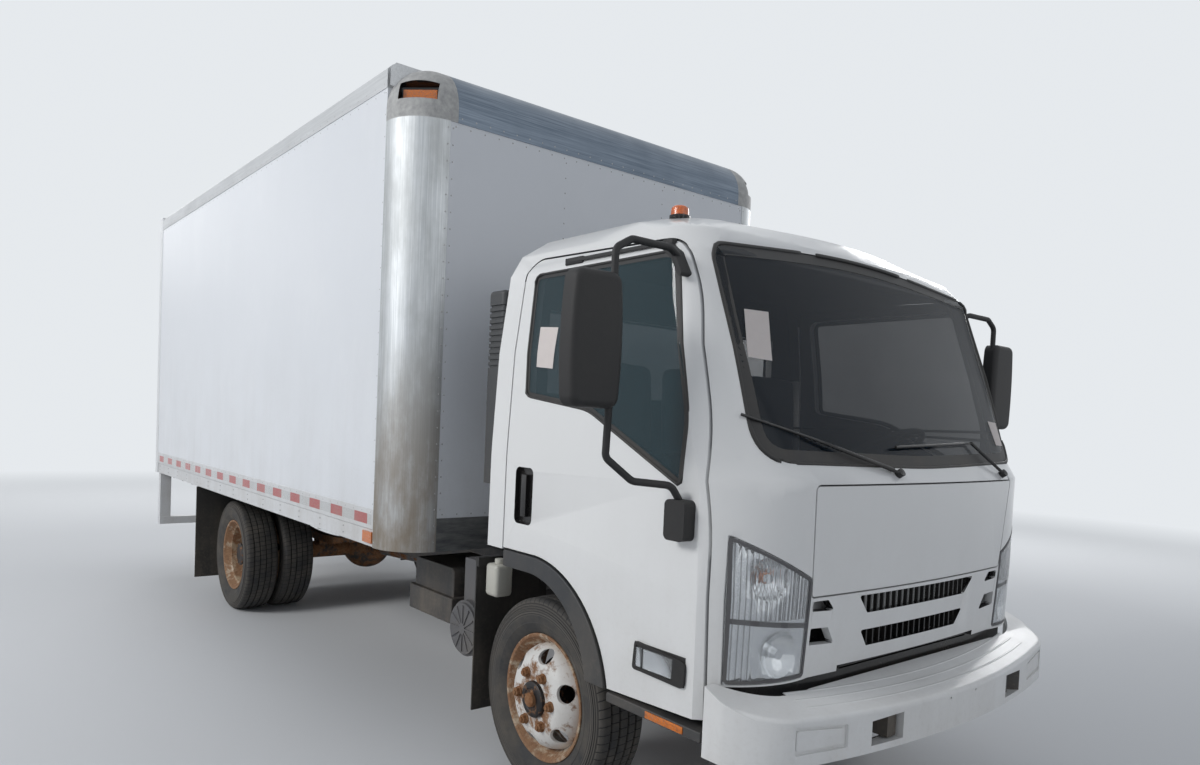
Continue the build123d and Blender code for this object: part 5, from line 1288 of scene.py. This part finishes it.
        # This plate along the nose's gap is a painted shadow of the gap
        line = [at(x, y, 0.0) for x, y in self.GAP_LINE] \
            + [at(x, -y, 0.0) for x, y in reversed(self.GAP_LINE)]
        section = ((0.0, self.GAP_LOW), (0.0, self.GAP_HIGH), (self.GAP_PLATE_THICK, self.GAP_HIGH),
                   (self.GAP_PLATE_THICK, self.GAP_LOW))
        lofted(shape, [[Vector((spot.x - back, spot.y, z)) for back, z in section]
                       for spot in rounded_path(line, 0.20, 8)])
        for low, high in self.GRILLE_PLATES:
            box(shape, at(*low), at(*high), self.PLATE_ROUNDING)
        twin_boxes(shape, *self.DUCT_PLATE, self.PLATE_ROUNDING)
        piece("grille_backing", fix_normals(shape), "smooth_black", "cab")

    def ribs(self):
        """Low ribs along the bumper's top, following its bow."""
        shape = bmesh.new()
        for behind in self.BUMPER_RIBS:
            rings = []
            for step in range(self.RIB_STEPS + 1):
                y = self.RIB_HALF * (2 * step / self.RIB_STEPS - 1)
                x = self.BUMPER_FRONT - y * y / self.BUMPER_BOW - behind
                level = self.BUMPER_TOP[1] - (x - self.BUMPER_TOP[0]) * self.BUMPER_SLOPE
                rings.append([at(x + ahead, y, level + up) for ahead, up in self.RIB_SECTION])
            lofted(shape, rings)
        piece("bumper_top_ribs", fix_normals(shape), "bumper_paint", "chassis", 60)


class TRUCK_OT_windows(TruckPart):
    """Black borders and rubber seals round the glass, and blank papers on it"""
    bl_idname = "truck.windows"
    bl_label = "Window seals"

    BORDER = 0.044
    DOOR_BORDER = 0.020
    SEAL = 0.0075
    REAR_GLASS_X = -0.333
    # Corners of the papers on the windscreen, and of the one on the right door's glass
    FRONT_PAPERS = (((-0.769, 1.931), (-0.654, 1.933), (-0.695, 1.762), (-0.803, 1.767)),
                    ((0.700, 1.605), (0.796, 1.600), (0.802, 1.500), (0.704, 1.503)))
    DOOR_PAPER = ((-0.059, 1.901), (0.062, 1.893), (0.056, 1.731), (-0.054, 1.740))
    # How far a paper's two faces stand off the glass
    PAPER_LIFTS = (0.0006, 0.0014)
    # The rail along the top of a door's window: height, first point ahead, pitch and number of its
    # points, radius, how far it stands off the door, and its two end blocks as (ahead, width)
    RAIL_Z = 2.150
    RAIL_START, RAIL_PITCH, RAIL_POINTS = 0.07, 0.028, 21
    RAIL_RADIUS = 0.011
    RAIL_LIFT = 0.006
    RAIL_BLOCKS = ((0.052, 0.11), (0.600, 0.05))

    def papers(self, name, body, sheets, on_skin):
        """Sheets that follow the glass, each given by its corners."""
        shape = bmesh.new()
        steps = [step / 6 for step in range(7)]
        under, over = self.PAPER_LIFTS
        for sheet in sheets:
            first, second, third, fourth = (Vector(corner) for corner in sheet)
            rings = []
            for down in steps:
                row = [first.lerp(second, along).lerp(fourth.lerp(third, along), down) for along in steps]
                rings.append([on_skin(spot.x, spot.y, over) for spot in row]
                             + [on_skin(spot.x, spot.y, under) for spot in reversed(row)])
            lofted(shape, rings)
        piece(name, fix_normals(shape), "blank_paper", body)

    def seal(self, name, body, outline, on_skin, border, radius):
        """A flat black border inside an opening's outline, with a round rubber lip on it."""
        shape = bmesh.new()
        skin_band(shape, inset(outline, 0.003), inset(outline, border), on_skin, -0.0002, 0.0010)
        lip = [on_skin(point.x, point.y, 0.0) for point in inset(outline, 0.001)]
        tube(shape, lip, radius, 8, loop=True)
        piece(name, fix_normals(shape), "seal_rubber", body, 50)

    def make(self):
        self.seal("windscreen_seal", "cab", loop_points(WINDSCREEN, WINDSCREEN_RADII), on_front,
                  self.BORDER, self.SEAL)
        rear = loop_points(REAR_WINDOW, (0.05,) * 4)
        shape = bmesh.new()
        tube(shape, [at(self.REAR_GLASS_X, point.x, point.y) for point in rear], self.SEAL, 8, loop=True)
        piece("rear_window_seal", fix_normals(shape), "seal_rubber", "cab", 50)
        self.papers("windscreen_papers", "cab", self.FRONT_PAPERS, on_front)
        self.papers("door_paper", "right_door", [self.DOOR_PAPER], lambda x, z, lift: on_side(x, z, -1, lift))
        outline = loop_points(DOOR_WINDOW, DOOR_WINDOW_RADII)
        for side_name, side in SIDES:
            def on_door(x, z, lift, side=side):
                return on_side(x, z, side, lift)
            self.seal(f"door_window_seal_{side_name}", f"{side_name}_door", outline, on_door,
                      self.DOOR_BORDER, self.SEAL * 0.8)
            shape = bmesh.new()
            rail = [on_door(self.RAIL_START + self.RAIL_PITCH * step, self.RAIL_Z, self.RAIL_LIFT)
                    for step in range(self.RAIL_POINTS)]
            tube(shape, rail, self.RAIL_RADIUS, 8, flat=0.6)
            for ahead, width in self.RAIL_BLOCKS:
                spot = on_door(ahead + width / 2, self.RAIL_Z, 0.0)
                low = Vector((AXLE_X + ahead, spot.y - 0.012, self.RAIL_Z - 0.014))
                box(shape, low, low + Vector((width, 0.024, 0.028)), 0.004)
            piece(f"door_top_rail_{side_name}", fix_normals(shape), "mirror_plastic", f"{side_name}_door",
                  45)


class TRUCK_OT_lamps(TruckPart):
    """Headlamps with their split bars and bulbs, door lamps, step reflectors and box lamps"""
    bl_idname = "truck.lamps"
    bl_label = "Lamps"

    # The bar between upper and lower lamp, as (y, z) on the front, and the outline of the rim
    SPLIT = ((0.938, 0.931), (0.860, 0.924), (0.760, 0.914), (0.655, 0.904))
    SPLIT_HALF = 0.008
    SPLIT_LIFTS = (-0.0035, 0.0016)
    RIM = ((0.651, 0.733), (0.939, 0.731), (0.939, 1.193), (0.928, 1.193), (0.651, 1.055))
    RIM_WIDTH = 0.010
    # Bulbs in the bowls: piece, ahead, y, z, radius, finish
    BULBS = (("indicator_bulbs", 1.012, 0.809, 1.063, 0.019, "amber_lens"),
             ("headlamp_bulb_caps", 1.024, 0.757, 0.816, 0.013, "lamp_reflector"))
    STEP_REFLECTOR = ((0.700, 1.0065, 0.554), (0.876, 1.0115, 0.578))
    # The door lamp's lenses, from rear to front, and the radii of its frame's corners
    DOOR_LENSES = ((0.638, 0.668), (0.678, 0.816))
    DOOR_FRAME_RADII = (0.012, 0.022, 0.022, 0.012)

    def make(self):
        dress("headlamps", "headlamp_housings", "lamp_reflector", None, angle=25.0)
        dress("headlamp_lenses", "headlamp_covers", "lamp_lens", None)
        finish_node("box_lamps", "box_lamp_lens")
        bars, rims = bmesh.new(), bmesh.new()
        outline = loop_points(self.RIM, (0.010,) * 5, 0.015)
        under, over = self.SPLIT_LIFTS
        for side in (-1, 1):
            def on_lamp(y, z, lift, side=side):
                return on_front(side * y, z, lift)
            half = self.SPLIT_HALF
            lofted(bars, [[on_lamp(y, z + up, lift)
                           for up, lift in ((-half, under), (-half, over), (half, over), (half, under))]
                          for y, z in self.SPLIT])
            skin_band(rims, outline, inset(outline, self.RIM_WIDTH), on_lamp, -0.0002, 0.0014)
        piece("headlamp_split_bars", fix_normals(bars), "fluted_grey", "cab")
        piece("headlamp_rims", fix_normals(rims), "fluted_grey", "cab", 50)
        for name, x, y, z, radius, finish in self.BULBS:
            bulbs = bmesh.new()
            for side in (-1, 1):
                ball(bulbs, at(x, side * y, z), radius, (1.3, 1, 1), 10)
            piece(name, bulbs, finish, "cab", 60)
        for side_name, side in SIDES:
            self.door_lamp(side_name, side)
        reflectors = bmesh.new()
        twin_boxes(reflectors, *self.STEP_REFLECTOR, 0.002)
        piece("step_reflectors", reflectors, "amber_lens", "cab")

    def door_lamp(self, side_name, side):
        """The lamp low on the door: a black frame round a small and a long clear lens."""
        (rear, fore), (low, high) = DOOR_LAMP
        face = DOOR_FACE_Y + 0.0028
        outer = [(rear - 0.004, low + 0.004), (fore + 0.004, low - 0.003), (fore + 0.006, high - 0.012),
                 (rear + 0.004, high + 0.003)]
        frame_shape = bmesh.new()
        outline = loop_points(outer, self.DOOR_FRAME_RADII, 0.006)
        window = loop_points([(rear + 0.010, low + 0.014), (fore - 0.050, low + 0.012),
                              (fore - 0.048, high - 0.016), (rear + 0.012, high - 0.010)],
                             (0.006,) * 4, 0.0048)
        count = min(len(outline), len(window))
        outline, window = (([line[round(i * len(line) / count) % len(line)] for i in range(count)])
                           for line in (outline, window))
        rings = [[at(point.x, side * across, point.y) for point in line]
                 for line, across in ((outline, face - 0.003), (outline, face + 0.006),
                                      (window, face + 0.006), (window, face + 0.0004))]
        lofted(frame_shape, rings, closed=True)
        body = f"{side_name}_door"
        piece(f"door_lamp_frame_{side_name}", fix_normals(frame_shape), "mirror_plastic", body,
              30)
        backs, lenses = bmesh.new(), bmesh.new()
        for start, end in self.DOOR_LENSES:
            for shape, first, last in ((backs, 0.0004, 0.0012), (lenses, 0.0020, 0.0050)):
                near, far = sorted((side * (face + first), side * (face + last)))
                box(shape, at(start, near, low + 0.016), at(end, far, high - 0.016), 0.0003)
        piece(f"door_lamp_reflector_{side_name}", backs, "lamp_reflector", body)
        piece(f"door_lamp_lens_{side_name}", lenses, "lamp_lens", body)


class TRUCK_OT_mirrors(TruckPart):
    """Mirrors with their glass"""
    bl_idname = "truck.mirrors"
    bl_label = "Mirrors"

    REAR_FACE = 0.680
    CENTRE_Y = 1.310

    def make(self):
        outline = loop_points([(-0.077, 1.592), (0.077, 1.592), (0.087, 1.786), (0.074, 1.980),
                               (-0.074, 1.980), (-0.087, 1.786)], (0.028, 0.028, 0.9, 0.028, 0.028, 0.9))
        for side_name, side in SIDES:
            body = f"{side_name}_door"
            dress(f"mirror_{side_name}", f"mirror_head_and_arms_{side_name}", "mirror_plastic",
                  0.003)
            glass_shape = bmesh.new()
            lofted(glass_shape, [[at(self.REAR_FACE + off, side * self.CENTRE_Y + point.x, point.y)
                                  for point in inset(outline, lip)]
                                 for off, lip in ((0.0005, 0.0), (-0.0015, 0.0), (-0.0022, 0.002))])
            piece(f"mirror_glass_{side_name}", fix_normals(glass_shape), "mirror_glass", body)


class TRUCK_OT_seats(TruckPart):
    """Padded seats with sewn channels"""
    bl_idname = "truck.seats"
    bl_label = "Seats"

    # Each seat: middle and width
    ROWS = ((0.540, 0.470), (0.020, 0.370), (-0.510, 0.470))
    CROWN = 0.010
    # A back's foot, and how far it leans to the rear for each metre up
    BACK_LOW = 1.300
    LEAN = 0.05

    def make(self):
        cushions, backs = bmesh.new(), bmesh.new()
        for middle, width in self.ROWS:
            near, far = middle - width / 2, middle + width / 2
            pad(cushions, at(-0.182, near, 1.184), at(0.238, far, 1.290), 0.045, self.CROWN)
            start = len(backs.verts)
            pad(backs, at(-0.178, near, self.BACK_LOW), at(-0.098, far, 1.790), 0.035, self.CROWN)
            backs.verts.ensure_lookup_table()
            for corner in backs.verts[start:]:
                corner.co.x -= (corner.co.z - self.BACK_LOW) * self.LEAN
        # The cushions come first, because they stand for the CAD's seats
        for name, shape in (("seat_cushions", cushions), ("seat_backs", backs)):
            made = piece(name, fix_normals(shape), "seat_cloth", "cab", 70)
            if name == "seat_cushions":
                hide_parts("seats")


class TRUCK_OT_freight_body(TruckPart):
    """The freight body's walls, posts, header, roof and rear frame"""
    bl_idname = "truck.freight_body"
    bl_label = "Freight body"

    # Two spheres and two heights bound the walls of the lamp pocket in a corner's cap
    POCKET_REACH = (0.10, CORNER_RADIUS - 0.006)
    POCKET_HEIGHTS = (2.955, 3.09)

    def pocket(self, spot, normal):
        """True for the walls of the cap's lamp pocket."""
        off = Vector((spot.x - (BOX_FRONT_X - CORNER_RADIUS - AXLE_X),
                      abs(spot.y) - (BOX_SIDE_Y - CORNER_RADIUS),
                      max(0.0, spot.z - (ROOF_HIGH.z - CORNER_RADIUS))))
        near, far = self.POCKET_REACH
        low, high = self.POCKET_HEIGHTS
        return off.x > 0 and off.y > 0 and near < off.length < far and low < spot.z < high

    def make(self):
        dress("corner_posts", "corner_posts_and_caps", "post_metal", 0.003, dissolve=0.2,
              accents=[("smooth_black", self.pocket)])
        # The header's finish carries painted shade and painted sky reflection in its colour
        dress("front_header", "curved_header", "header_metal", None, dissolve=0.2)
        dress("cargo_side_rails", "side_rails", "rail_paint", 0.002)
        dress("rear_frame", "rear_frame_welded", "rear_paint", 0.003)
        dress("rollup_door", "rollup_door_slats", "rear_paint", 0.002)
        for name, finish in (("cargo_walls", "panel_paint"), ("cargo_roof", "roof_metal"),
                             ("cargo_floor", "floor_black")):
            finish_node(name, finish)
        self.rail_ends()

    def rail_ends(self):
        """Plates that close the roof rails' front ends over the caps."""
        shape = bmesh.new()
        x = BOX_FRONT_X - CORNER_RADIUS + 0.006
        outer, top, low = BOX_SIDE_Y - 0.001, ROOF_HIGH.z - 0.001, ROOF_LOW.z + 0.001
        chamfer, width = 0.026, 0.20
        outline = ((outer, low), (outer, top - chamfer), (outer - chamfer, top), (outer - width, top),
                   (outer - width, low))
        for side in (-1, 1):
            slab(shape, [(x, side * y, z) for y, z in outline], (0.002, 0, 0))
        piece("roof_rail_ends", fix_normals(shape), "top_rail_metal", "chassis")


class TRUCK_OT_rear_door_fittings(TruckPart):
    """The rear door's latch, pulls, bottom seal and rivets"""
    bl_idname = "truck.rear_door_fittings"
    bl_label = "Rear door fittings"

    PANELS = 7
    RIVET_OFF = 0.024
    RIVET_PITCH = 0.124
    # The pull straps' handles: how far from the middle, and their line as (out, across, up)
    PULL_Y = 0.36
    PULL_LINE = ((0.0, -0.060, 0.021), (0.014, -0.060, 0.024), (0.014, 0.060, 0.024), (0.0, 0.060, 0.021))

    def make(self):
        face = DOOR_LOW.x
        height = (DOOR_HIGH.z - DOOR_LOW.z) / self.PANELS
        levels = [DOOR_LOW.z + joint * height + off for joint in range(1, self.PANELS)
                  for off in (-self.RIVET_OFF, self.RIVET_OFF)]
        lines = [[(face + 0.002, y, level) for y in (DOOR_LOW.y + 0.06, DOOR_HIGH.y - 0.06)]
                 for level in levels]
        grown("rear_door_rivets", lines, rivet_pattern(sizes().rivet_radius), "rivet_metal", "chassis",
              pitch=self.RIVET_PITCH)
        foot = bmesh.new()
        box(foot, (face - 0.004, DOOR_LOW.y + 0.004, DOOR_LOW.z + 0.001),
            (face + 0.012, DOOR_HIGH.y - 0.004, DOOR_LOW.z + 0.030), 0.004)
        piece("rear_door_seal", foot, "seal_rubber", "chassis")
        latch = bmesh.new()
        low = DOOR_LOW.z + 0.045
        box(latch, (face - 0.003, -0.075, low), (face + 0.001, 0.075, low + 0.165), 0.001)
        box(latch, (face - 0.012, -0.030, low + 0.020), (face - 0.002, 0.030, low + 0.062), 0.003)
        tube(latch, rounded_path([(face - 0.008, 0.0, low + 0.040), (face - 0.013, 0.0, low + 0.075),
                                  (face - 0.013, 0.0, low + 0.150)], 0.01), 0.0055, 10)
        for y in (-self.PULL_Y, self.PULL_Y):
            box(latch, (face - 0.002, y - 0.075, low + 0.012), (face + 0.001, y + 0.075, low + 0.030), 0.0008)
            tube(latch, rounded_path([(face - out, y + across, low + up)
                                      for out, across, up in self.PULL_LINE], 0.012), 0.0045, 10)
        piece("rear_door_latch_and_pulls", fix_normals(latch), "rivet_metal", "chassis", 40)


class TRUCK_OT_running_gear(TruckPart):
    """Frame, axles, powertrain and what hangs on the rails"""
    bl_idname = "truck.running_gear"
    bl_label = "Running gear"

    FINISHES = {
        "frame_rails": "frame_black", "frame_crossmembers": "frame_black", "front_axle": "axle_metal",
        "rear_axle": "axle_metal", "powertrain": "engine_metal", "exhaust": "exhaust_metal",
        "fuel_tank": "frame_black", "mudflaps": "flap_rubber", "knuckle_left": "axle_metal",
        "knuckle_right": "axle_metal", "tie_rod": "axle_metal"}
    # The coolant reservoir behind the cab, and the middle of its lid's foot
    RESERVOIR = ((-0.470, -0.925, 0.735), (-0.375, -0.835, 0.880))
    LID = (-0.422, -0.880, 0.878)
    LID_SECTION = ((0.0, 0.0001), (0.0, 0.022), (0.022, 0.022), (0.024, 0.0001))

    def make(self):
        for name, finish in self.FINISHES.items():
            finish_node(name, finish)
        dress("battery_box", "battery_box_cover", "frame_black", 0.006)
        dress("air_cleaner", "air_cleaner_drum", "fluted_grey", 0.003)
        shape = bmesh.new()
        low, high = self.RESERVOIR
        box(shape, at(*low), at(*high), 0.018, 3)
        lathe(shape, self.LID_SECTION, at(*self.LID), "Z", 20)
        piece("coolant_reservoir", fix_normals(shape), "reservoir_plastic", "chassis")


class TRUCK_OT_rivets(TruckPart):
    """Rivet rows round the freight body's walls, posts and header"""
    bl_idname = "truck.rivets"
    bl_label = "Rivets"

    # A ball is sunk by this share of its radius; panels stand back from posts and rails by this much
    SUNK = 0.45
    PANEL_STEP = 0.003
    LOWER_RAIL_STEP = 0.008
    # Half the front wall's middle panel, and half the length of the level rows on that wall
    SEAM_Y = 0.34
    ROW_Y = 0.98
    HEADER_ROW_Y = 0.95

    def rows(self, name, ends, radius, pitch):
        """Rivets along straight lines, each given by its two ends."""
        grown(name, [list(line) for line in ends], rivet_pattern(radius), "rivet_metal", "chassis",
              pitch=pitch)

    def both(self, lines):
        """Lines on both sides, given by those on the left."""
        return [[(x, side * y, z) for x, y, z in line] for side in (-1, 1) for line in lines]

    def make(self):
        radius, pitch = sizes().rivet_radius, sizes().rivet_pitch
        sunk = radius * self.SUNK
        edge = -(POST_LOW.y + CORNER_RADIUS)
        front = BOX_FRONT_X - sunk
        wall = front - self.PANEL_STEP
        self.rows("front_wall_rivets", self.both([
            ((front, edge + 0.012, 0.93), (front, edge + 0.012, CAP_Z - 0.03)),
            ((wall, edge - 0.016, 0.93), (wall, edge - 0.016, CAP_Z - 0.03)),
            ((wall, self.SEAM_Y, 1.08), (wall, self.SEAM_Y, 2.84))]) + [
            [(x, side * y, z) for side in (-1, 1)]
            for x, y, z in ((wall, self.ROW_Y, CAP_Z - 0.020), (front, self.HEADER_ROW_Y, CAP_Z + 0.022),
                            (wall, self.ROW_Y, SCUFF_Z + 0.018))], radius, pitch)
        start, end = WALL_REAR_X + 0.02, POST_LOW.x
        rail = BOX_SIDE_Y - sunk
        wall = rail - self.PANEL_STEP
        upright = [((end - 0.016, wall, 1.09), (end - 0.016, wall, 3.02)),
                   ((end + 0.014, rail, 0.91), (end + 0.014, rail, 2.86))]
        level = [((start, y, z), (end - 0.03, y, z))
                 for y, z in ((wall, ROOF_LOW.z - 0.018), (rail, ROOF_LOW.z + 0.020),
                              (rail, RAIL_HIGH.z - 0.014))]
        self.rows("side_wall_rivets", self.both(upright + level), radius * 0.85, pitch * 1.3)
        lower = rail - self.LOWER_RAIL_STEP
        self.rows("rail_bolts", self.both([((start + 0.05, lower, z), (end - 0.05, lower, z))
                                           for z in (0.912, 0.945)]), radius * 1.3, FOOT)


class TRUCK_OT_tape(TruckPart):
    """Reflective tape along the side rails and across the rear frame"""
    bl_idname = "truck.tape"
    bl_label = "Reflective tape"

    THICK = 0.0006
    # Heights of the tape on the side rails, and half length and heights on the rear sill and step
    SIDE_TAPE = (0.990, 1.040)
    SILL_TAPE = (1.085, 0.915, 0.965)
    STEP_TAPE = (1.16, 0.422, 0.472)
    STEP_BACK = 0.002

    def make(self):
        shape = bmesh.new()
        for side in (-1, 1):
            near, far = sorted((side * BOX_SIDE_Y, side * (BOX_SIDE_Y + self.THICK)))
            low, high = self.SIDE_TAPE
            box(shape, (RAIL_LOW.x + 0.03, near, low), (RAIL_HIGH.x - 0.02, far, high))
        piece("side_tape", shape, "reflective_tape", "chassis")
        shape = bmesh.new()
        for face, (half, low, high) in ((REAR_FACE_X, self.SILL_TAPE),
                                        (REAR_FACE_X + self.STEP_BACK, self.STEP_TAPE)):
            box(shape, (face - self.THICK, -half, low), (face, half, high))
        piece("rear_tape", shape, "reflective_tape", "chassis")


class TRUCK_OT_stage(TruckPart):
    """The pale floor, the studio lamps and the camera"""
    bl_idname = "truck.stage"
    bl_label = "Stage"

    CAMERA_PLACE = (2.697, -2.897, 1.5485)
    CAMERA_YAW = 140.54
    CAMERA_PITCH = -2.23
    CAMERA_ROLL = 2.5
    CAMERA_LENS = 24.96
    CAMERA_SHIFT_UP = 0.05625
    # Each lamp: name, place, what it looks at, width, power
    LAMPS = (("key", (-0.5, -11.0, 7.0), (-0.5, 0.0, 1.4), 4.0, 670.0),
             ("front_fill", (10.0, 0.5, 4.5), (1.0, 0.0, 1.2), 6.0, 42.0),
             ("left_fill", (-1.0, 10.0, 5.0), (-0.5, 0.0, 1.4), 5.0, 270.0),
             ("rear_fill", (-10.5, 0.0, 5.0), (-2.0, 0.0, 1.4), 5.0, 185.0))
    BACKDROP = (0.79, 0.82, 0.85)
    SKY = (0.74, 0.79, 0.87)
    SKY_STRENGTH = 0.44
    # The floor turns to the backdrop's colour between these distances from the truck's middle
    FLOOR_FADE = (6.0, 15.0)
    FLOOR_REACH = 60.0

    def seen(self, tree):
        """One where a camera, a mirror or a glass looks, and nought for the light on the truck."""
        paths = node(tree, "ShaderNodeLightPath")
        looks = most(tree, paths.outputs["Is Camera Ray"], paths.outputs["Is Glossy Ray"])
        return most(tree, looks, paths.outputs["Is Transmission Ray"])

    def floor(self):
        mesh = bpy.data.meshes.new("floor")
        reach = self.FLOOR_REACH
        mesh.from_pydata([(-reach, -reach, 0), (reach, -reach, 0), (reach, reach, 0), (-reach, reach, 0)],
                         [], [(0, 1, 2, 3)])
        floor = bpy.data.objects.new("floor", mesh)
        bpy.context.scene.collection.objects.link(floor)
        made, tree = surface("pale_floor", base_color=(0.66, 0.67, 0.68), roughness=0.9)
        away = length(tree, *axes(tree, here(tree), "XY"))
        far = times(tree, band(tree, away, *self.FLOOR_FADE), self.seen(tree))
        shader = tree.nodes["Principled BSDF"]
        glow = node(tree, "ShaderNodeEmission", {"Color": self.BACKDROP, "Strength": 1.0})
        blend = node(tree, "ShaderNodeMixShader", {0: far, 1: shader.outputs[0], 2: glow.outputs[0]})
        tree.links.new(blend.outputs[0], tree.nodes["Material Output"].inputs["Surface"])
        mesh.materials.append(made)

    def world(self):
        world = bpy.data.worlds.new("studio")
        bpy.context.scene.world = world
        world.use_nodes = True
        tree = world.node_tree
        back = tree.nodes["Background"]
        seen = self.seen(tree)
        tree.links.new(band(tree, seen, 0.0, 1.0, self.SKY_STRENGTH, 1.0), back.inputs["Strength"])
        tree.links.new(mixed(tree, seen, self.SKY, self.BACKDROP), back.inputs["Color"])

    def lamp(self, name, spot, aim, width, power):
        data = bpy.data.lights.new(name, "AREA")
        data.shape = "DISK"
        data.size = width
        data.energy = power
        lamp = bpy.data.objects.new(name, data)
        lamp.location = Vector(spot)
        lamp.rotation_euler = (Vector(aim) - Vector(spot)).to_track_quat("-Z", "Y").to_euler()
        bpy.context.scene.collection.objects.link(lamp)

    def camera(self):
        data = bpy.data.cameras.new("camera")
        data.sensor_width = 36.0
        data.lens = self.CAMERA_LENS
        data.shift_y = self.CAMERA_SHIFT_UP
        data.clip_end = 200.0
        camera = bpy.data.objects.new("camera", data)
        yaw, pitch = math.radians(self.CAMERA_YAW), math.radians(self.CAMERA_PITCH)
        look = Vector((math.cos(yaw) * math.cos(pitch), math.sin(yaw) * math.cos(pitch), math.sin(pitch)))
        turn = look.to_track_quat("-Z", "Y").to_matrix()
        turn = Matrix.Rotation(math.radians(-self.CAMERA_ROLL), 3, look) @ turn
        camera.matrix_world = Matrix.Translation(at(*self.CAMERA_PLACE)) @ turn.to_4x4()
        bpy.context.scene.collection.objects.link(camera)
        bpy.context.scene.camera = camera

    def make(self):
        self.floor()
        self.world()
        for lamp in self.LAMPS:
            self.lamp(*lamp)
        self.camera()
        bpy.context.scene.view_settings.view_transform = "Standard"


OPERATORS = (TRUCK_OT_tyres, TRUCK_OT_wheels, TRUCK_OT_cab_panels, TRUCK_OT_windows, TRUCK_OT_lamps,
             TRUCK_OT_mirrors, TRUCK_OT_seats, TRUCK_OT_freight_body,
             TRUCK_OT_rear_door_fittings, TRUCK_OT_running_gear, TRUCK_OT_rivets, TRUCK_OT_tape,
             TRUCK_OT_stage)


class TRUCK_PT_panel(bpy.types.Panel):
    """Lists the truck's pieces in the 3D view's sidebar"""
    bl_idname = "TRUCK_PT_panel"
    bl_label = "Box truck"
    bl_space_type = "VIEW_3D"
    bl_region_type = "UI"
    bl_category = "Truck"

    def draw(self, context):
        for settings in (context.scene.truck_sizes, context.scene.truck_colours):
            for name in settings.__annotations__:
                self.layout.prop(settings, name)
        for operator in OPERATORS:
            self.layout.operator(operator.bl_idname)


CLASSES = (TruckSizes, TruckColours, *OPERATORS, TRUCK_PT_panel)


def register():
    for kind in CLASSES:
        bpy.utils.register_class(kind)
    bpy.types.Scene.truck_sizes = bpy.props.PointerProperty(type=TruckSizes)
    bpy.types.Scene.truck_colours = bpy.props.PointerProperty(type=TruckColours)


def unregister():
    del bpy.types.Scene.truck_sizes
    del bpy.types.Scene.truck_colours
    for kind in reversed(CLASSES):
        bpy.utils.unregister_class(kind)


def main():
    register()
    for operator in OPERATORS:
        group_name, action = operator.bl_idname.split(".")
        result = getattr(getattr(bpy.ops, group_name), action)()
        if result != {"FINISHED"}:
            raise RuntimeError(f"{operator.bl_label} didn't finish")


if __name__ == "__main__":
    main()
